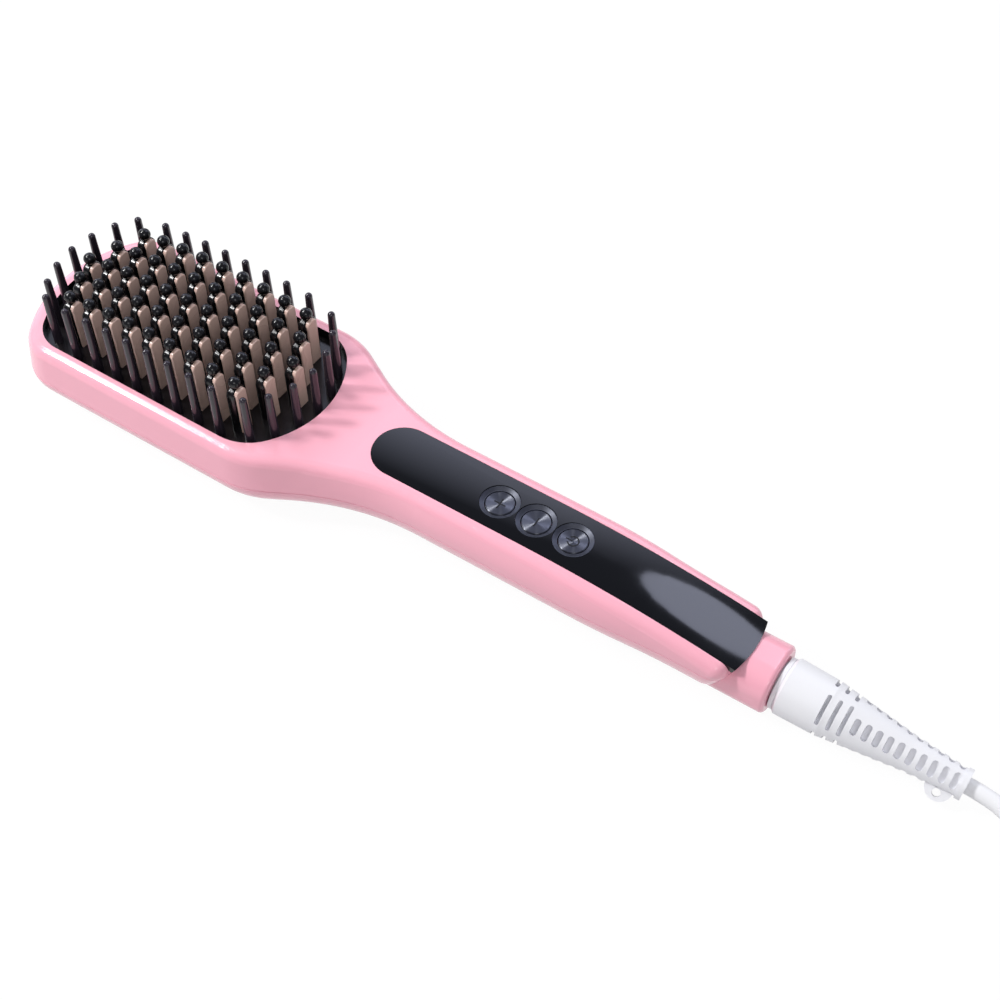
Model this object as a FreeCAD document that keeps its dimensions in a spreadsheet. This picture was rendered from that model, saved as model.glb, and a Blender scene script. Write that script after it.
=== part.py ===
import FreeCAD, Part
import math
import os
import re
from types import SimpleNamespace

import Sketcher

# Heated styling brush, lying on its back with the bristles up.
# X runs from the head towards the cord, Y to the far side, Z up; the origin is under the head's centre.

V = FreeCAD.Vector
X_AXIS = V(1, 0, 0)
Y_AXIS = V(0, 1, 0)
Z_AXIS = V(0, 0, 1)

# Driving dimensions in millimetres; names that end in angle are degrees, and in share plain ratios
SIZES = {
    # Head, neck and handle, seen from above
    "head_width": 66.0,
    "head_reach": 59.6,
    "head_end_radius": 45.6,
    "head_corner_radius": 16.2,
    "head_corner_least": 6.0,
    "head_draft": 1.7,
    "neck_corner_x": 43.8,
    "neck_angle": 28.6,
    "neck_corner_radius": 29.0,
    "neck_corner_least": 4.0,
    "neck_hollow_radius": 84.0,
    "handle_width": 31.1,
    "handle_end_x": 205.1,
    "handle_end_slant": 8.0,
    "handle_end_radius": 40.0,
    "handle_end_corner": 5.0,
    "tail_taper": 1.6,
    "taper_start_x": 150.0,
    "taper_end_x": 188.0,
    # Heights above the surface that the brush lies on
    "seam_height": 14.6,
    "rim_height": 27.2,
    "panel_height": 25.5,
    "tail_height": 19.0,
    "handle_belly": 16.5,
    "handle_lean": 2.7,
    "keel_width": 5.0,
    "back_reach": 22.0,
    "rim_edge_radius": 3.7,
    "seam_chamfer": 0.4,
    # Where the top line steps from the rim down to the panel, and where it starts to fall to the tail
    "rim_flat_end_x": 46.0,
    "panel_flat_start_x": 70.0,
    "panel_flat_end_x": 134.0,
    "wall": 2.2,
    "roof": 4.0,
    "overrun": 5.0,
    # Bed and its opening in the rim
    "opening_reach": 52.8,
    "opening_width": 54.1,
    "opening_end_radius": 34.0,
    "opening_corner_radius": 17.0,
    "opening_tip_end_radius": 42.0,
    "opening_tip_corner_radius": 13.0,
    "bed_gap": 0.4,
    "bed_height": 23.8,
    "bed_plate": 2.9,
    "bed_flange_lip": 1.4,
    # Teeth: pitch along a row, pitch between rows, crown of the tips
    "tooth_pitch": 8.4,
    "row_pitch": 8.79,
    "ball_height": 46.0,
    "crown_radius": 222.0,
    "ball_diameter": 4.1,
    "neck_diameter": 1.7,
    "neck_reach": 2.0,
    "guard_width": 6.2,
    "guard_depth": 3.6,
    "guard_back": 2.0,
    "guard_shoulder": 2.7,
    "guard_edge": 1.1,
    "blade_width": 4.4,
    "blade_thickness": 1.2,
    "blade_drop": 2.1,
    "blade_proud": 0.6,
    "blade_edge": 0.35,
    "blade_corner": 1.7,
    "blade_clearance": 0.1,
    # Edge pins
    "pin_base_diameter": 3.2,
    "pin_tip_diameter": 2.4,
    "pin_row_y": 23.9,
    "pin_rise": 0.3,
    "pin_crown_share": 0.55,
    # Heater stack under the bed
    "heater_plate_reach": 47.5,
    "heater_plate_width": 45.0,
    "heater_plate_thickness": 2.8,
    "heater_plate_end_radius": 30.0,
    "heater_plate_corner": 14.0,
    "heater_air_gap": 0.5,
    "strip_length": 78.0,
    "strip_width": 10.0,
    "strip_thickness": 2.2,
    "strip_offset": 9.0,
    "mica_thickness": 0.4,
    "mica_margin": 1.5,
    "clamp_thickness": 1.2,
    "clamp_length": 90.0,
    "clamp_width": 31.0,
    "clamp_screw_inset": 4.5,
    "bed_screw_x": 38.5,
    "bed_screw_y": 17.2,
    "heater_screw_diameter": 2.2,
    "heater_screw_head": 4.2,
    "heater_screw_head_height": 1.3,
    "heater_screw_bite": 1.8,
    "screw_clearance": 0.15,
    "fuse_diameter": 3.2,
    "fuse_length": 11.0,
    "fuse_x": 12.0,
    "thermistor_diameter": 1.9,
    "thermistor_length": 5.0,
    "thermistor_x": 8.0,
    "shield_length": 92.0,
    "shield_width": 46.0,
    "shield_thickness": 1.2,
    "shield_height": 8.6,
    "shield_post_diameter": 5.0,
    "shield_post_inset_x": 8.0,
    "shield_post_inset_y": 6.0,
    # Control panel and buttons
    "panel_start_x": 72.9,
    "panel_width": 19.8,
    "panel_thickness": 2.0,
    "panel_gap": 0.15,
    "panel_crown": 0.35,
    "first_button_x": 118.4,
    "button_pitch": 12.9,
    "button_diameter": 9.0,
    "button_dish": 0.3,
    "button_sunk": 0.5,
    "button_gap": 0.3,
    "button_edge": 0.25,
    "button_flange_diameter": 10.6,
    "button_flange_thickness": 0.8,
    "button_flange_gap": 0.65,
    "button_stem_diameter": 5.0,
    "bezel_diameter": 12.5,
    "bezel_gap": 0.1,
    "bezel_dish": 0.7,
    "bezel_lip": 0.15,
    "bezel_seat": 0.4,
    "window_length": 20.0,
    "window_width": 8.0,
    "display_x": 94.0,
    "display_margin": 1.0,
    "display_gap": 0.5,
    # Control board and what it carries
    "board_start_x": 78.0,
    "board_end_x": 160.0,
    "board_width": 20.0,
    "board_thickness": 1.6,
    "board_top": 17.0,
    "board_post_diameter": 4.4,
    "board_post_first_x": 108.0,
    "board_post_last_x": 155.0,
    "board_post_y": 7.6,
    "pad_length": 36.0,
    "pad_width": 10.6,
    "pad_thickness": 1.0,
    "dome_diameter": 6.4,
    "dome_height": 1.3,
    "dome_gap": 0.05,
    "capacitor_length": 14.0,
    "capacitor_width": 7.0,
    "capacitor_height": 9.0,
    "capacitor_x": 138.0,
    "triac_length": 10.0,
    "triac_width": 12.0,
    "triac_height": 4.5,
    "triac_x": 100.0,
    "board_screw_diameter": 2.0,
    "board_screw_head": 3.8,
    "board_screw_head_height": 1.2,
    "board_screw_bite": 3.0,
    # Screws that hold the two shells
    "boss_diameter": 6.4,
    "neck_boss_x": 66.0,
    "neck_boss_y": 11.6,
    "tail_boss_x": 169.0,
    "tail_boss_y": 8.0,
    "shell_screw_diameter": 2.6,
    "shell_screw_head": 4.8,
    "shell_screw_head_height": 2.0,
    "shell_screw_bite": 4.5,
    "shell_screw_sink": 7.0,
    # End collar and swivel; the swivel's axis tips down towards the cord
    "axis_height": 9.7,
    "axis_pivot_x": 206.0,
    "axis_tip_angle": 2.4,
    "collar_width": 20.8,
    "collar_height": 18.4,
    "collar_corner": 7.8,
    "collar_start_x": 195.0,
    "collar_end_x": 214.2,
    "collar_edge": 1.4,
    "collar_wall": 3.0,
    "spigot_diameter": 13.2,
    "spigot_bore": 8.6,
    "spigot_start_x": 186.0,
    "spigot_gap": 0.2,
    "ear_width": 19.6,
    "ear_height": 6.0,
    "ear_drop": 1.0,
    "ear_thickness": 2.4,
    "chamber_diameter": 15.8,
    "chamber_length": 6.2,
    "swivel_gap": 0.35,
    "flange_gap": 0.5,
    "swivel_flange": 2.0,
    # Strain relief
    "relief_neck_diameter": 12.4,
    "relief_neck_band": 1.6,
    "band_length": 1.2,
    "band_diameter": 16.2,
    "barrel_diameter": 17.8,
    "barrel_end_diameter": 17.2,
    "barrel_length": 15.3,
    "ribs_length": 39.5,
    "ribs_start_diameter": 16.8,
    "ribs_waist_diameter": 10.8,
    "ribs_waist_share": 0.6,
    "ribs_end_diameter": 8.6,
    "relief_edge": 1.0,
    "slot_width": 1.9,
    "slot_thin_width": 1.2,
    "slot_pitch": 3.3,
    "slot_first": 13.5,
    "slot_length": 5.0,
    "slot_tall_length": 9.4,
    "slot_core_share": 0.68,
    "slot_round_share": 0.48,
    "relief_roll_angle": 50.0,
    "end_flange_diameter": 9.6,
    "end_flange_thickness": 1.6,
    "loop_outer_diameter": 8.0,
    "loop_hole_diameter": 2.5,
    "loop_thickness": 2.8,
    "loop_back": 6.2,
    "loop_reach": 4.1,
    "loop_hole_reach": 5.8,
    "loop_angle": 38.0,
    "core_diameter": 6.4,
    "core_length": 36.0,
    "ring_diameter": 7.3,
    "ring_width": 2.4,
    "ring_gap": 0.05,
    "ring_first": 3.2,
    "ring_pitch": 5.0,
    "finger_width": 2.6,
    "finger_thickness": 0.5,
    "finger_overlap": 12.0,
    "finger_offset": 1.8,
    # Leads inside
    "lead_diameter": 1.8,
    "lead_board_y": 5.0,
    "lead_first_share": 0.3,
    # Cord, coil, tie and plug
    "cord_diameter": 5.0,
    "coil_step": 5.6,
    "coil_rise": 5.5,
    "coil_outer_radius": 40.2,
    "coil_lead": 5.0,
    "coil_end_lead": 20.0,
    "tie_thickness": 1.0,
    "tie_width": 10.0,
    "tie_gap": 0.3,
    "tie_corner": 2.6,
    "tie_floor_gap": 0.1,
    "plug_length": 30.0,
    "plug_width": 27.0,
    "plug_corner": 5.0,
    "plug_edge": 2.0,
    "plug_relief_length": 16.0,
    "plug_relief_diameter": 8.6,
    "plug_relief_end_diameter": 6.4,
    "blade_pin_width": 6.3,
    "blade_pin_thickness": 1.5,
    "blade_pin_length": 16.0,
    "blade_pin_spacing": 12.7,
    "least_gap": 0.4,
}

# Rows of teeth and the places of the edge pins as shares of the tooth pitch
ROW_COUNTS = (9, 10, 11, 10, 9)
SIDE_PIN_SHARES = (-3.55, -2.5, -1.5, -0.5, 0.5, 1.5, 2.5, 3.55)
END_PIN_SHARES = ((4.8, 2.6), (5.4, 1.9), (5.79, 0.98), (5.93, 0.0))
BUTTON_MARKS = ("plus", "minus", "power")
SLOT_COUNT = 13
SLOT_ROWS = 4
TALL_SLOTS = 3

# Heights of the moulded levels as shares of each shell's height
BACK_LEVEL_SHARES = (0.0, 0.03, 0.1, 0.22, 0.4, 0.65, 1.0)
TOP_LEVEL_SHARES = (0.0, 0.2, 0.45, 0.7, 1.0)

# The cord's free run, chosen by hand: X and Y from the strain relief's end in cord diameters, and the share
# of the fall to the coil's height; the first straight is in cord diameters too
CORD_FIRST_SHARE = 1.2
CORD_ROUTE_SHARES = ((2.6, -0.25, 0.27), (4.4, -1.02, 0.74), (6.5, -2.24, 1.0), (8.5, -3.55, 1.0))

# How much of the shorter run an arc takes at a bend
BEND_REACH_SHARE = 0.45

COIL_TURNS = 7.25
COIL_QUARTERS = 29
CLIMB_TURNS = 0.5
GAP_STEPS_PER_TURN = 120
TIE_TURN_SHARE = 0.62

doc = FreeCAD.newDocument("styling_brush")
sheet = doc.addObject("Spreadsheet::Sheet", "sizes")
for row, (alias, number) in enumerate(SIZES.items(), start=1):
    sheet.set(f"A{row}", alias)
    sheet.set(f"B{row}", str(number))
    sheet.setAlias(f"B{row}", alias)
doc.recompute()

# The same sizes as plain numbers, read back from the sheet for shapes made in code
mm = SimpleNamespace(**{alias: float(sheet.get(alias)) for alias in SIZES})

nodes = {}


def bind(item, **formulas):
    """Tie properties of a document object to formulas in the sheet's names."""
    for name, formula in formulas.items():
        text = re.sub(r"[a-z]\w*", r"sizes.\g<0>", formula)
        item.setExpression(name.replace("__", "."), text)


def node(label, item):
    """Name a document object as one of the brush's pieces."""
    item.Label = label
    nodes[label] = item
    return item


def feature(label, shape):
    """A piece whose shape is made in code from the sheet's sizes."""
    item = doc.addObject("Part::Feature", label)
    item.Shape = shape
    item.Placement = FreeCAD.Placement()
    return node(label, item)


def block(name, length, width, height, x, y, z):
    """A box tied to the sheet, given by its size and its lowest corner."""
    item = doc.addObject("Part::Box", name)
    bind(item, Length=length, Width=width, Height=height)
    bind(item, Placement__Base__x=x, Placement__Base__y=y, Placement__Base__z=z)
    return item


def rod(name, radius, height, x, y, z):
    """An upright cylinder tied to the sheet, given by its lower centre."""
    item = doc.addObject("Part::Cylinder", name)
    bind(item, Radius=radius, Height=height)
    bind(item, Placement__Base__x=x, Placement__Base__y=y, Placement__Base__z=z)
    return item


def joined(name, pieces):
    item = doc.addObject("Part::MultiFuse", name)
    item.Shapes = pieces
    return item


def cut(name, base, tool):
    item = doc.addObject("Part::Cut", name)
    item.Base = base
    item.Tool = tool
    return item


def value(formula):
    """The present value of a formula in the sheet's names."""
    return float(sheet.evalExpression(re.sub(r"[a-z]\w*", r"sizes.\g<0>", formula)))


def turned(label, points, place):
    """A body turned about the Z axis from a closed profile of (radius, height) formulas."""
    body = doc.addObject("PartDesign::Body", label)
    sketch = body.newObject("Sketcher::SketchObject", f"{label}_profile")
    plane = next(item for item in body.Origin.OriginFeatures if item.Role == "XZ_Plane")
    sketch.AttachmentSupport = [(plane, "")]
    sketch.MapMode = "FlatFace"
    spots = [V(value(across), value(up)) for across, up in points]
    count = len(spots)
    for index in range(count):
        sketch.addGeometry(Part.LineSegment(spots[index], spots[(index + 1) % count]), False)
    for index in range(count):
        sketch.addConstraint(Sketcher.Constraint("Coincident", index, 2, (index + 1) % count, 1))
    for index, formulas in enumerate(points):
        for kind, formula in zip(("DistanceX", "DistanceY"), formulas):
            place_now = value(formula)
            rule = sketch.addConstraint(Sketcher.Constraint(kind, -1, 1, index, 1, place_now))
            if place_now != 0:
                bind(sketch, **{f"Constraints[{rule}]": formula})
    turn = body.newObject("PartDesign::Revolution", f"{label}_turn")
    turn.Profile = sketch
    turn.ReferenceAxis = (sketch, ["V_Axis"])
    turn.Angle = 360
    body.Tip = turn
    bind(body, Placement__Base__x=place[0], Placement__Base__y=place[1], Placement__Base__z=place[2])
    return body


# Curves shared by several pieces


def arc_leaving(start, heading, end):
    """The arc that leaves start along heading and ends at end."""
    chord = end - start
    across = heading - chord * (heading.dot(chord) / chord.dot(chord))
    if across.Length < 1e-9:
        return Part.LineSegment(start, end)
    bend = heading.getAngle(chord)
    middle = start + chord / 2 + across.normalize() * (chord.Length / 2 * math.tan(bend / 2))
    return Part.Arc(start, middle, end)


def rounded_end(tip_x, half, end_radius, corner_radius, facing):
    """Half of a rounded end from the X axis to the side at half: points for two arcs in turn."""
    hub = V(tip_x - facing * end_radius, 0)
    reach = math.sqrt((end_radius - corner_radius) ** 2 - (half - corner_radius) ** 2)
    corner = V(hub.x + facing * reach, half - corner_radius)
    way = (corner - hub).normalize()
    tip = V(tip_x, 0)
    end_middle = hub + (X_AXIS * facing + way).normalize() * end_radius
    meeting = hub + way * end_radius
    corner_middle = corner + (way + Y_AXIS).normalize() * corner_radius
    side = V(corner.x, half)
    return [tip, end_middle, meeting, corner_middle, side]


def closed_wire(half_edges, height):
    """Mirror a row of edges across the X axis and close it at the given height."""
    mirrored = []
    for edge in half_edges:
        mirrored.append([V(point.x, -point.y) for point in reversed(edge)])
    curves = []
    for edge in half_edges + mirrored[::-1]:
        spots = [V(point.x, point.y, height) for point in edge]
        curve = Part.Arc(*spots) if len(spots) > 2 else Part.LineSegment(*spots)
        curves.append(curve.toShape())
    return Part.Wire(curves)


def oval(reach, half, tip_radii, neck_radii, height):
    """A long rounded outline about the origin; each end has an end radius and a corner radius."""
    left = rounded_end(-reach, half, *tip_radii, -1)
    right = rounded_end(reach, half, *neck_radii, 1)
    edges = [left[0:3], left[2:5], [left[4], right[4]], right[4:1:-1], right[2::-1]]
    return closed_wire(edges, height)


def bed_oval(grow, height):
    """The outline of the bed's opening in the rim, grown all round."""
    tip_radii = (mm.opening_tip_end_radius + grow, mm.opening_tip_corner_radius + grow)
    neck_radii = (mm.opening_end_radius + grow, mm.opening_corner_radius + grow)
    return oval(mm.opening_reach + grow, mm.opening_width / 2 + grow, tip_radii, neck_radii, height)


def prism(wire, rise):
    return Part.Face(wire).extrude(Z_AXIS * rise)


def pillar(diameter, x, y, low, high):
    return Part.makeCylinder(diameter / 2, high - low, V(x, y, low))


def crown_drop(x):
    """How far the crowned tips fall at a distance x from the head's centre."""
    return mm.crown_radius - math.sqrt(mm.crown_radius ** 2 - x ** 2)


# Shells

TAIL_CORNER_SHARE = 0.6

# How much of the neck's slanted flank its two bends may take up
FLANK_SHARE = 0.96


def handle_half(height):
    """Half the handle's width at a height: a keeled belly below, a slight lean above."""
    half = mm.handle_width / 2
    if height <= mm.handle_belly:
        share = (mm.handle_belly - height) / mm.handle_belly
        return max(mm.keel_width / 2, half * math.sqrt(1 - share ** 2))
    lean_share = (height - mm.handle_belly) / (mm.panel_height - mm.handle_belly)
    return half - mm.handle_lean * lean_share ** 2


def dome_share(share):
    """How far the domed back stands in, as a share of its reach, at a share of its height."""
    return 1 - math.sqrt(1 - (1 - share) ** 2)


def body_outline(inset, half):
    """The brush seen from above: head set in by inset, handle of the given half width."""
    angle = math.radians(mm.neck_angle)
    lean = V(math.cos(angle), -math.sin(angle))
    head_half = mm.head_width / 2 - inset
    tip = rounded_end(inset - mm.head_reach, head_half, mm.head_end_radius - inset,
                      max(mm.head_corner_radius - inset, mm.head_corner_least), -1)
    first = V(mm.neck_corner_x - inset * math.tan(angle / 2), head_half)
    flank = (head_half - half) / math.sin(angle)
    second = first + lean * flank
    outer = max(mm.neck_corner_radius - inset, mm.neck_corner_least)
    room = FLANK_SHARE * flank / math.tan(angle / 2) - outer
    hollow = min(mm.neck_hollow_radius + inset, room)
    outer_start = first - X_AXIS * (outer * math.tan(angle / 2))
    outer_end = first + lean * (outer * math.tan(angle / 2))
    outer_middle = outer_start + V(outer * math.sin(angle / 2), outer * (math.cos(angle / 2) - 1))
    hollow_start = second - lean * (hollow * math.tan(angle / 2))
    hollow_end = second + X_AXIS * (hollow * math.tan(angle / 2))
    hollow_middle = hollow_end - V(hollow * math.sin(angle / 2), hollow * (math.cos(angle / 2) - 1))
    return tip, outer_start, outer_middle, outer_end, hollow_start, hollow_middle, hollow_end


def level_wire(height, inset, half, wall):
    """One moulding level of the whole brush as a closed wire."""
    tip, start, middle, end, low_start, low_middle, low_end = body_outline(inset, half)
    slant = mm.handle_end_slant * (1 - height / mm.tail_height)
    corner = min(mm.handle_end_corner, half * TAIL_CORNER_SHARE)
    taper = mm.tail_taper * half / (mm.handle_width / 2)
    tail = rounded_end(mm.handle_end_x - slant - wall, half - taper, mm.handle_end_radius, corner, 1)
    bend = tail_bend(half, taper)
    edges = [tip[0:3], tip[2:5], [tip[4], start], [start, middle, end], [end, low_start],
             [low_start, low_middle, low_end], [low_end, bend[0]], bend[0:3], bend[2:5],
             [bend[4], tail[4]], tail[4:1:-1], tail[2::-1]]
    return closed_wire(edges, height)


def tail_bend(half, taper):
    """Two equal arcs by which the handle's side draws in towards its end: points for each in turn."""
    run = mm.taper_end_x - mm.taper_start_x
    radius = (run ** 2 + taper ** 2) / (4 * taper)
    sag = radius - math.sqrt(radius ** 2 - (run / 4) ** 2)
    start = V(mm.taper_start_x, half)
    end = V(mm.taper_end_x, half - taper)
    quarter = X_AXIS * (run / 4)
    return [start, start + quarter - Y_AXIS * sag, (start + end) / 2, end - quarter + Y_AXIS * sag, end]


def back_solid(wall):
    """The lower half of the brush, drawn in by wall all round."""
    wires = []
    for share in BACK_LEVEL_SHARES:
        height = wall + (mm.seam_height - wall) * share
        inset = wall + (mm.back_reach - wall) * dome_share(share)
        half = min(handle_half(height - wall), handle_half(height) - wall) if wall else handle_half(height)
        wires.append(level_wire(height, inset, half, wall))
    return Part.makeLoft(wires, True, False)


def top_solid(wall, drop):
    """The upper half of the brush, drawn in by wall and cut off below its top line by drop."""
    wires = []
    for share in TOP_LEVEL_SHARES:
        height = mm.seam_height + (mm.rim_height + mm.wall - mm.seam_height) * share
        draft_share = (height - mm.seam_height) / (mm.rim_height - mm.seam_height)
        inset = wall + mm.head_draft * draft_share
        wires.append(level_wire(height, inset, handle_half(height) - wall, wall))
    return Part.makeLoft(wires, True, False).common(under_top_line(drop))


def tail_fall_radius():
    """The radius of the arc by which the top line falls from the panel's level to the tail."""
    fall = mm.panel_height - mm.tail_height
    run = mm.handle_end_x - mm.panel_flat_end_x
    return (run ** 2 + fall ** 2) / (2 * fall)


def under_top_line(drop):
    """Everything below the top line of the brush, which is lowered by drop."""
    rim = mm.rim_height - drop
    panel = mm.panel_height - drop
    far = mm.handle_end_x + mm.overrun
    start = V(-mm.head_reach - mm.overrun, 0, rim)
    rim_end = V(mm.rim_flat_end_x, 0, rim)
    panel_start = V(mm.panel_flat_start_x, 0, panel)
    middle = (rim_end + panel_start) / 2
    panel_end = V(mm.panel_flat_end_x, 0, panel)
    radius = tail_fall_radius()
    tail = V(far, 0, panel - radius + math.sqrt(radius ** 2 - (far - mm.panel_flat_end_x) ** 2))
    up_arc = arc_leaving(panel_start, -X_AXIS, middle).toShape()
    edges = [
        Part.LineSegment(start, rim_end).toShape(),
        arc_leaving(rim_end, X_AXIS, middle).toShape(),
        up_arc,
        Part.LineSegment(panel_start, panel_end).toShape(),
        arc_leaving(panel_end, X_AXIS, tail).toShape(),
        Part.LineSegment(tail, V(far, 0, 0)).toShape(),
        Part.LineSegment(V(far, 0, 0), V(start.x, 0, 0)).toShape(),
        Part.LineSegment(V(start.x, 0, 0), start).toShape(),
    ]
    side = Part.Face(Part.Wire(Part.__sortEdges__(edges)))
    side.translate(-Y_AXIS * mm.head_width)
    return side.extrude(Y_AXIS * (2 * mm.head_width))


def upper_edges(solid):
    """The edges round the top of a solid, between its top faces and its sides."""
    seen = {}
    for face in solid.Faces:
        low_u, high_u, low_v, high_v = face.ParameterRange
        if face.normalAt((low_u + high_u) / 2, (low_v + high_v) / 2).z < math.sqrt(0.5):
            continue
        for edge in face.Edges:
            seen.setdefault(edge.hashCode(), []).append(edge)
    return [group[0] for group in seen.values() if len(group) == 1]


def strip(half):
    """The control panel seen from above, from its round head end past the end of the handle."""
    far = mm.handle_end_x + mm.overrun
    hub_x = mm.panel_start_x + mm.panel_width / 2
    turn = half * math.sqrt(0.5)
    edges = [[V(hub_x - half, 0), V(hub_x - turn, turn), V(hub_x, half)],
             [V(hub_x, half), V(far, half)], [V(far, half), V(far, 0)]]
    return prism(closed_wire(edges, 0), mm.rim_height + mm.overrun)


def button_x(index):
    return mm.first_button_x + index * mm.button_pitch


def signs():
    """The four corners of a pattern that is mirrored in X and in Y."""
    return [(1, 1), (1, -1), (-1, 1), (-1, -1)]


def shell_screw_places():
    places = []
    for x, y in ((mm.neck_boss_x, mm.neck_boss_y), (mm.tail_boss_x, mm.tail_boss_y)):
        places += [(x, y), (x, -y)]
    return places


def board_screw_places():
    places = []
    for x in (mm.board_post_first_x, mm.board_post_last_x):
        places += [(x, mm.board_post_y), (x, -mm.board_post_y)]
    return places


spigot_way = Part.makeCylinder(mm.spigot_diameter / 2 + mm.spigot_gap,
                               mm.handle_end_x + mm.overrun - mm.spigot_start_x,
                               V(mm.spigot_start_x, 0, mm.axis_height), X_AXIS)

back_outer = back_solid(0)
top_outer = top_solid(0, 0)


def make_back_shell():
    seam_face = max(back_outer.Faces, key=lambda face: face.CenterOfMass.z)
    shell = back_outer.makeChamfer(mm.seam_chamfer, seam_face.Edges)
    shell = shell.cut(back_solid(mm.wall))
    posts = [pillar(mm.boss_diameter, x, y, 0, mm.seam_height) for x, y in shell_screw_places()]
    post_x = mm.shield_length / 2 - mm.shield_post_inset_x
    post_y = mm.shield_width / 2 - mm.shield_post_inset_y
    for side_x, side_y in signs():
        posts.append(pillar(mm.shield_post_diameter, side_x * post_x, side_y * post_y, 0, mm.shield_height))
    shell = shell.fuse([post.common(back_outer) for post in posts])
    for x, y in shell_screw_places():
        hole = pillar(mm.shell_screw_diameter + 2 * mm.screw_clearance, x, y, 0, mm.seam_height)
        sink = pillar(mm.shell_screw_head + 2 * mm.screw_clearance, x, y, -mm.overrun, mm.shell_screw_sink)
        shell = shell.cut([hole, sink])
    return shell.cut(spigot_way).removeSplitter()


def make_top_shell():
    shell = top_outer.makeFillet(mm.rim_edge_radius, upper_edges(top_outer))
    shell = shell.cut(top_solid(mm.wall, mm.roof))
    web = mm.panel_height - mm.roof / 2
    posts = [pillar(mm.boss_diameter, x, y, mm.seam_height, web) for x, y in shell_screw_places()]
    posts += [pillar(mm.board_post_diameter, x, y, mm.board_top, web) for x, y in board_screw_places()]
    shell = shell.fuse([post.common(top_outer) for post in posts])
    high = mm.rim_height + mm.overrun
    opening = prism(bed_oval(0, mm.seam_height), high - mm.seam_height)
    recess = strip(mm.panel_width / 2 + mm.panel_gap).cut(under_top_line(mm.panel_thickness))
    tools = [opening, recess, spigot_way]
    seat = mm.panel_height - mm.panel_thickness - mm.bezel_seat
    for index in range(len(BUTTON_MARKS)):
        tools.append(pillar(mm.button_diameter + 2 * mm.button_gap, button_x(index), 0, mm.board_top, high))
        tools.append(pillar(mm.bezel_diameter + 2 * mm.bezel_gap, button_x(index), 0, seat, high))
    window = Part.makeBox(mm.window_length, mm.window_width, high - mm.board_top,
                          V(mm.display_x - mm.window_length / 2, -mm.window_width / 2, mm.board_top))
    tools.append(window)
    for x, y in shell_screw_places():
        tools.append(pillar(mm.shell_screw_diameter + 2 * mm.screw_clearance, x, y, mm.seam_height,
                            mm.seam_height + mm.shell_screw_bite + mm.screw_clearance))
    for x, y in board_screw_places():
        tools.append(pillar(mm.board_screw_diameter + 2 * mm.screw_clearance, x, y, mm.board_top,
                            mm.board_top + mm.board_screw_bite + mm.screw_clearance))
    return shell.cut(tools).removeSplitter()


feature("back_shell", make_back_shell())
feature("top_shell", make_top_shell())


# Bed, teeth and pins


def tooth_places():
    """Centres of the teeth: five staggered rows along X."""
    places = []
    for row_index, count in enumerate(ROW_COUNTS):
        y = (row_index - (len(ROW_COUNTS) - 1) / 2) * mm.row_pitch
        places += [((index - (count - 1) / 2) * mm.tooth_pitch, y) for index in range(count)]
    return places


def pin_places():
    places = []
    for share in SIDE_PIN_SHARES:
        places += [(share * mm.tooth_pitch, mm.pin_row_y), (share * mm.tooth_pitch, -mm.pin_row_y)]
    for along, across in END_PIN_SHARES:
        corners = signs() if across else signs()[::2]
        places += [(side_x * along * mm.tooth_pitch, side_y * across * mm.tooth_pitch)
                   for side_x, side_y in corners]
    return places


def blade_space(x, y, grow, low, high):
    """The room of one blade, grown on its sides, between two heights."""
    front = x + mm.guard_depth - mm.guard_back + mm.blade_proud + grow
    depth = mm.blade_thickness + 2 * grow
    width = mm.blade_width + 2 * grow
    return Part.makeBox(depth, width, high - low, V(front - depth, y - width / 2, low))


def heater_hole(x, y, low, high):
    return pillar(mm.heater_screw_diameter + 2 * mm.screw_clearance, x, y, low, high)


bed_bottom = mm.bed_height - mm.bed_plate
plate_top = bed_bottom - mm.heater_air_gap
plate_bottom = plate_top - mm.heater_plate_thickness
strip_bottom = plate_bottom - mm.strip_thickness
mica_bottom = strip_bottom - mm.mica_thickness
clamp_bottom = mica_bottom - mm.clamp_thickness
bed_screw_places = [(side_x * mm.bed_screw_x, side_y * mm.bed_screw_y) for side_x, side_y in signs()]
clamp_screw_x = mm.clamp_length / 2 - mm.clamp_screw_inset
clamp_screw_places = [(clamp_screw_x, 0), (-clamp_screw_x, 0)]


def make_bed():
    """The bed, with a flange that is welded under the rim."""
    plate = prism(bed_oval(-mm.bed_gap, bed_bottom), mm.bed_plate)
    flange = prism(bed_oval(mm.bed_flange_lip, bed_bottom), mm.bed_plate).common(under_top_line(mm.roof))
    slots = [blade_space(x, y, mm.blade_clearance, bed_bottom, mm.bed_height) for x, y in tooth_places()]
    holes = [heater_hole(x, y, bed_bottom, bed_bottom + mm.heater_screw_bite + mm.screw_clearance)
             for x, y in bed_screw_places]
    return plate.fuse(flange).cut(slots + holes).removeSplitter()


def round_topped(back, y, width, low, top, shoulder, depth):
    """A post from back along X, with round shoulders, and the edges round its two faces."""
    half = width / 2
    turn = shoulder * (1 - math.sqrt(0.5))
    right = [V(back, y + half, low), V(back, y + half, top - shoulder),
             V(back, y + half - turn, top - turn), V(back, y + half - shoulder, top)]
    left = [V(back, 2 * y - spot.y, spot.z) for spot in right]
    outline = [Part.LineSegment(left[0], right[0]), Part.LineSegment(right[0], right[1]),
               Part.Arc(*right[1:]), Part.LineSegment(right[3], left[3]),
               Part.Arc(*left[:0:-1]), Part.LineSegment(left[1], left[0])]
    side = Part.Face(Part.Wire([curve.toShape() for curve in outline]))
    post = side.extrude(X_AXIS * depth)
    rims = [edge for edge in post.Edges if edge.BoundBox.XLength < mm.blade_clearance
            and edge.CenterOfMass.z > low + shoulder]
    return post, rims


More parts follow.
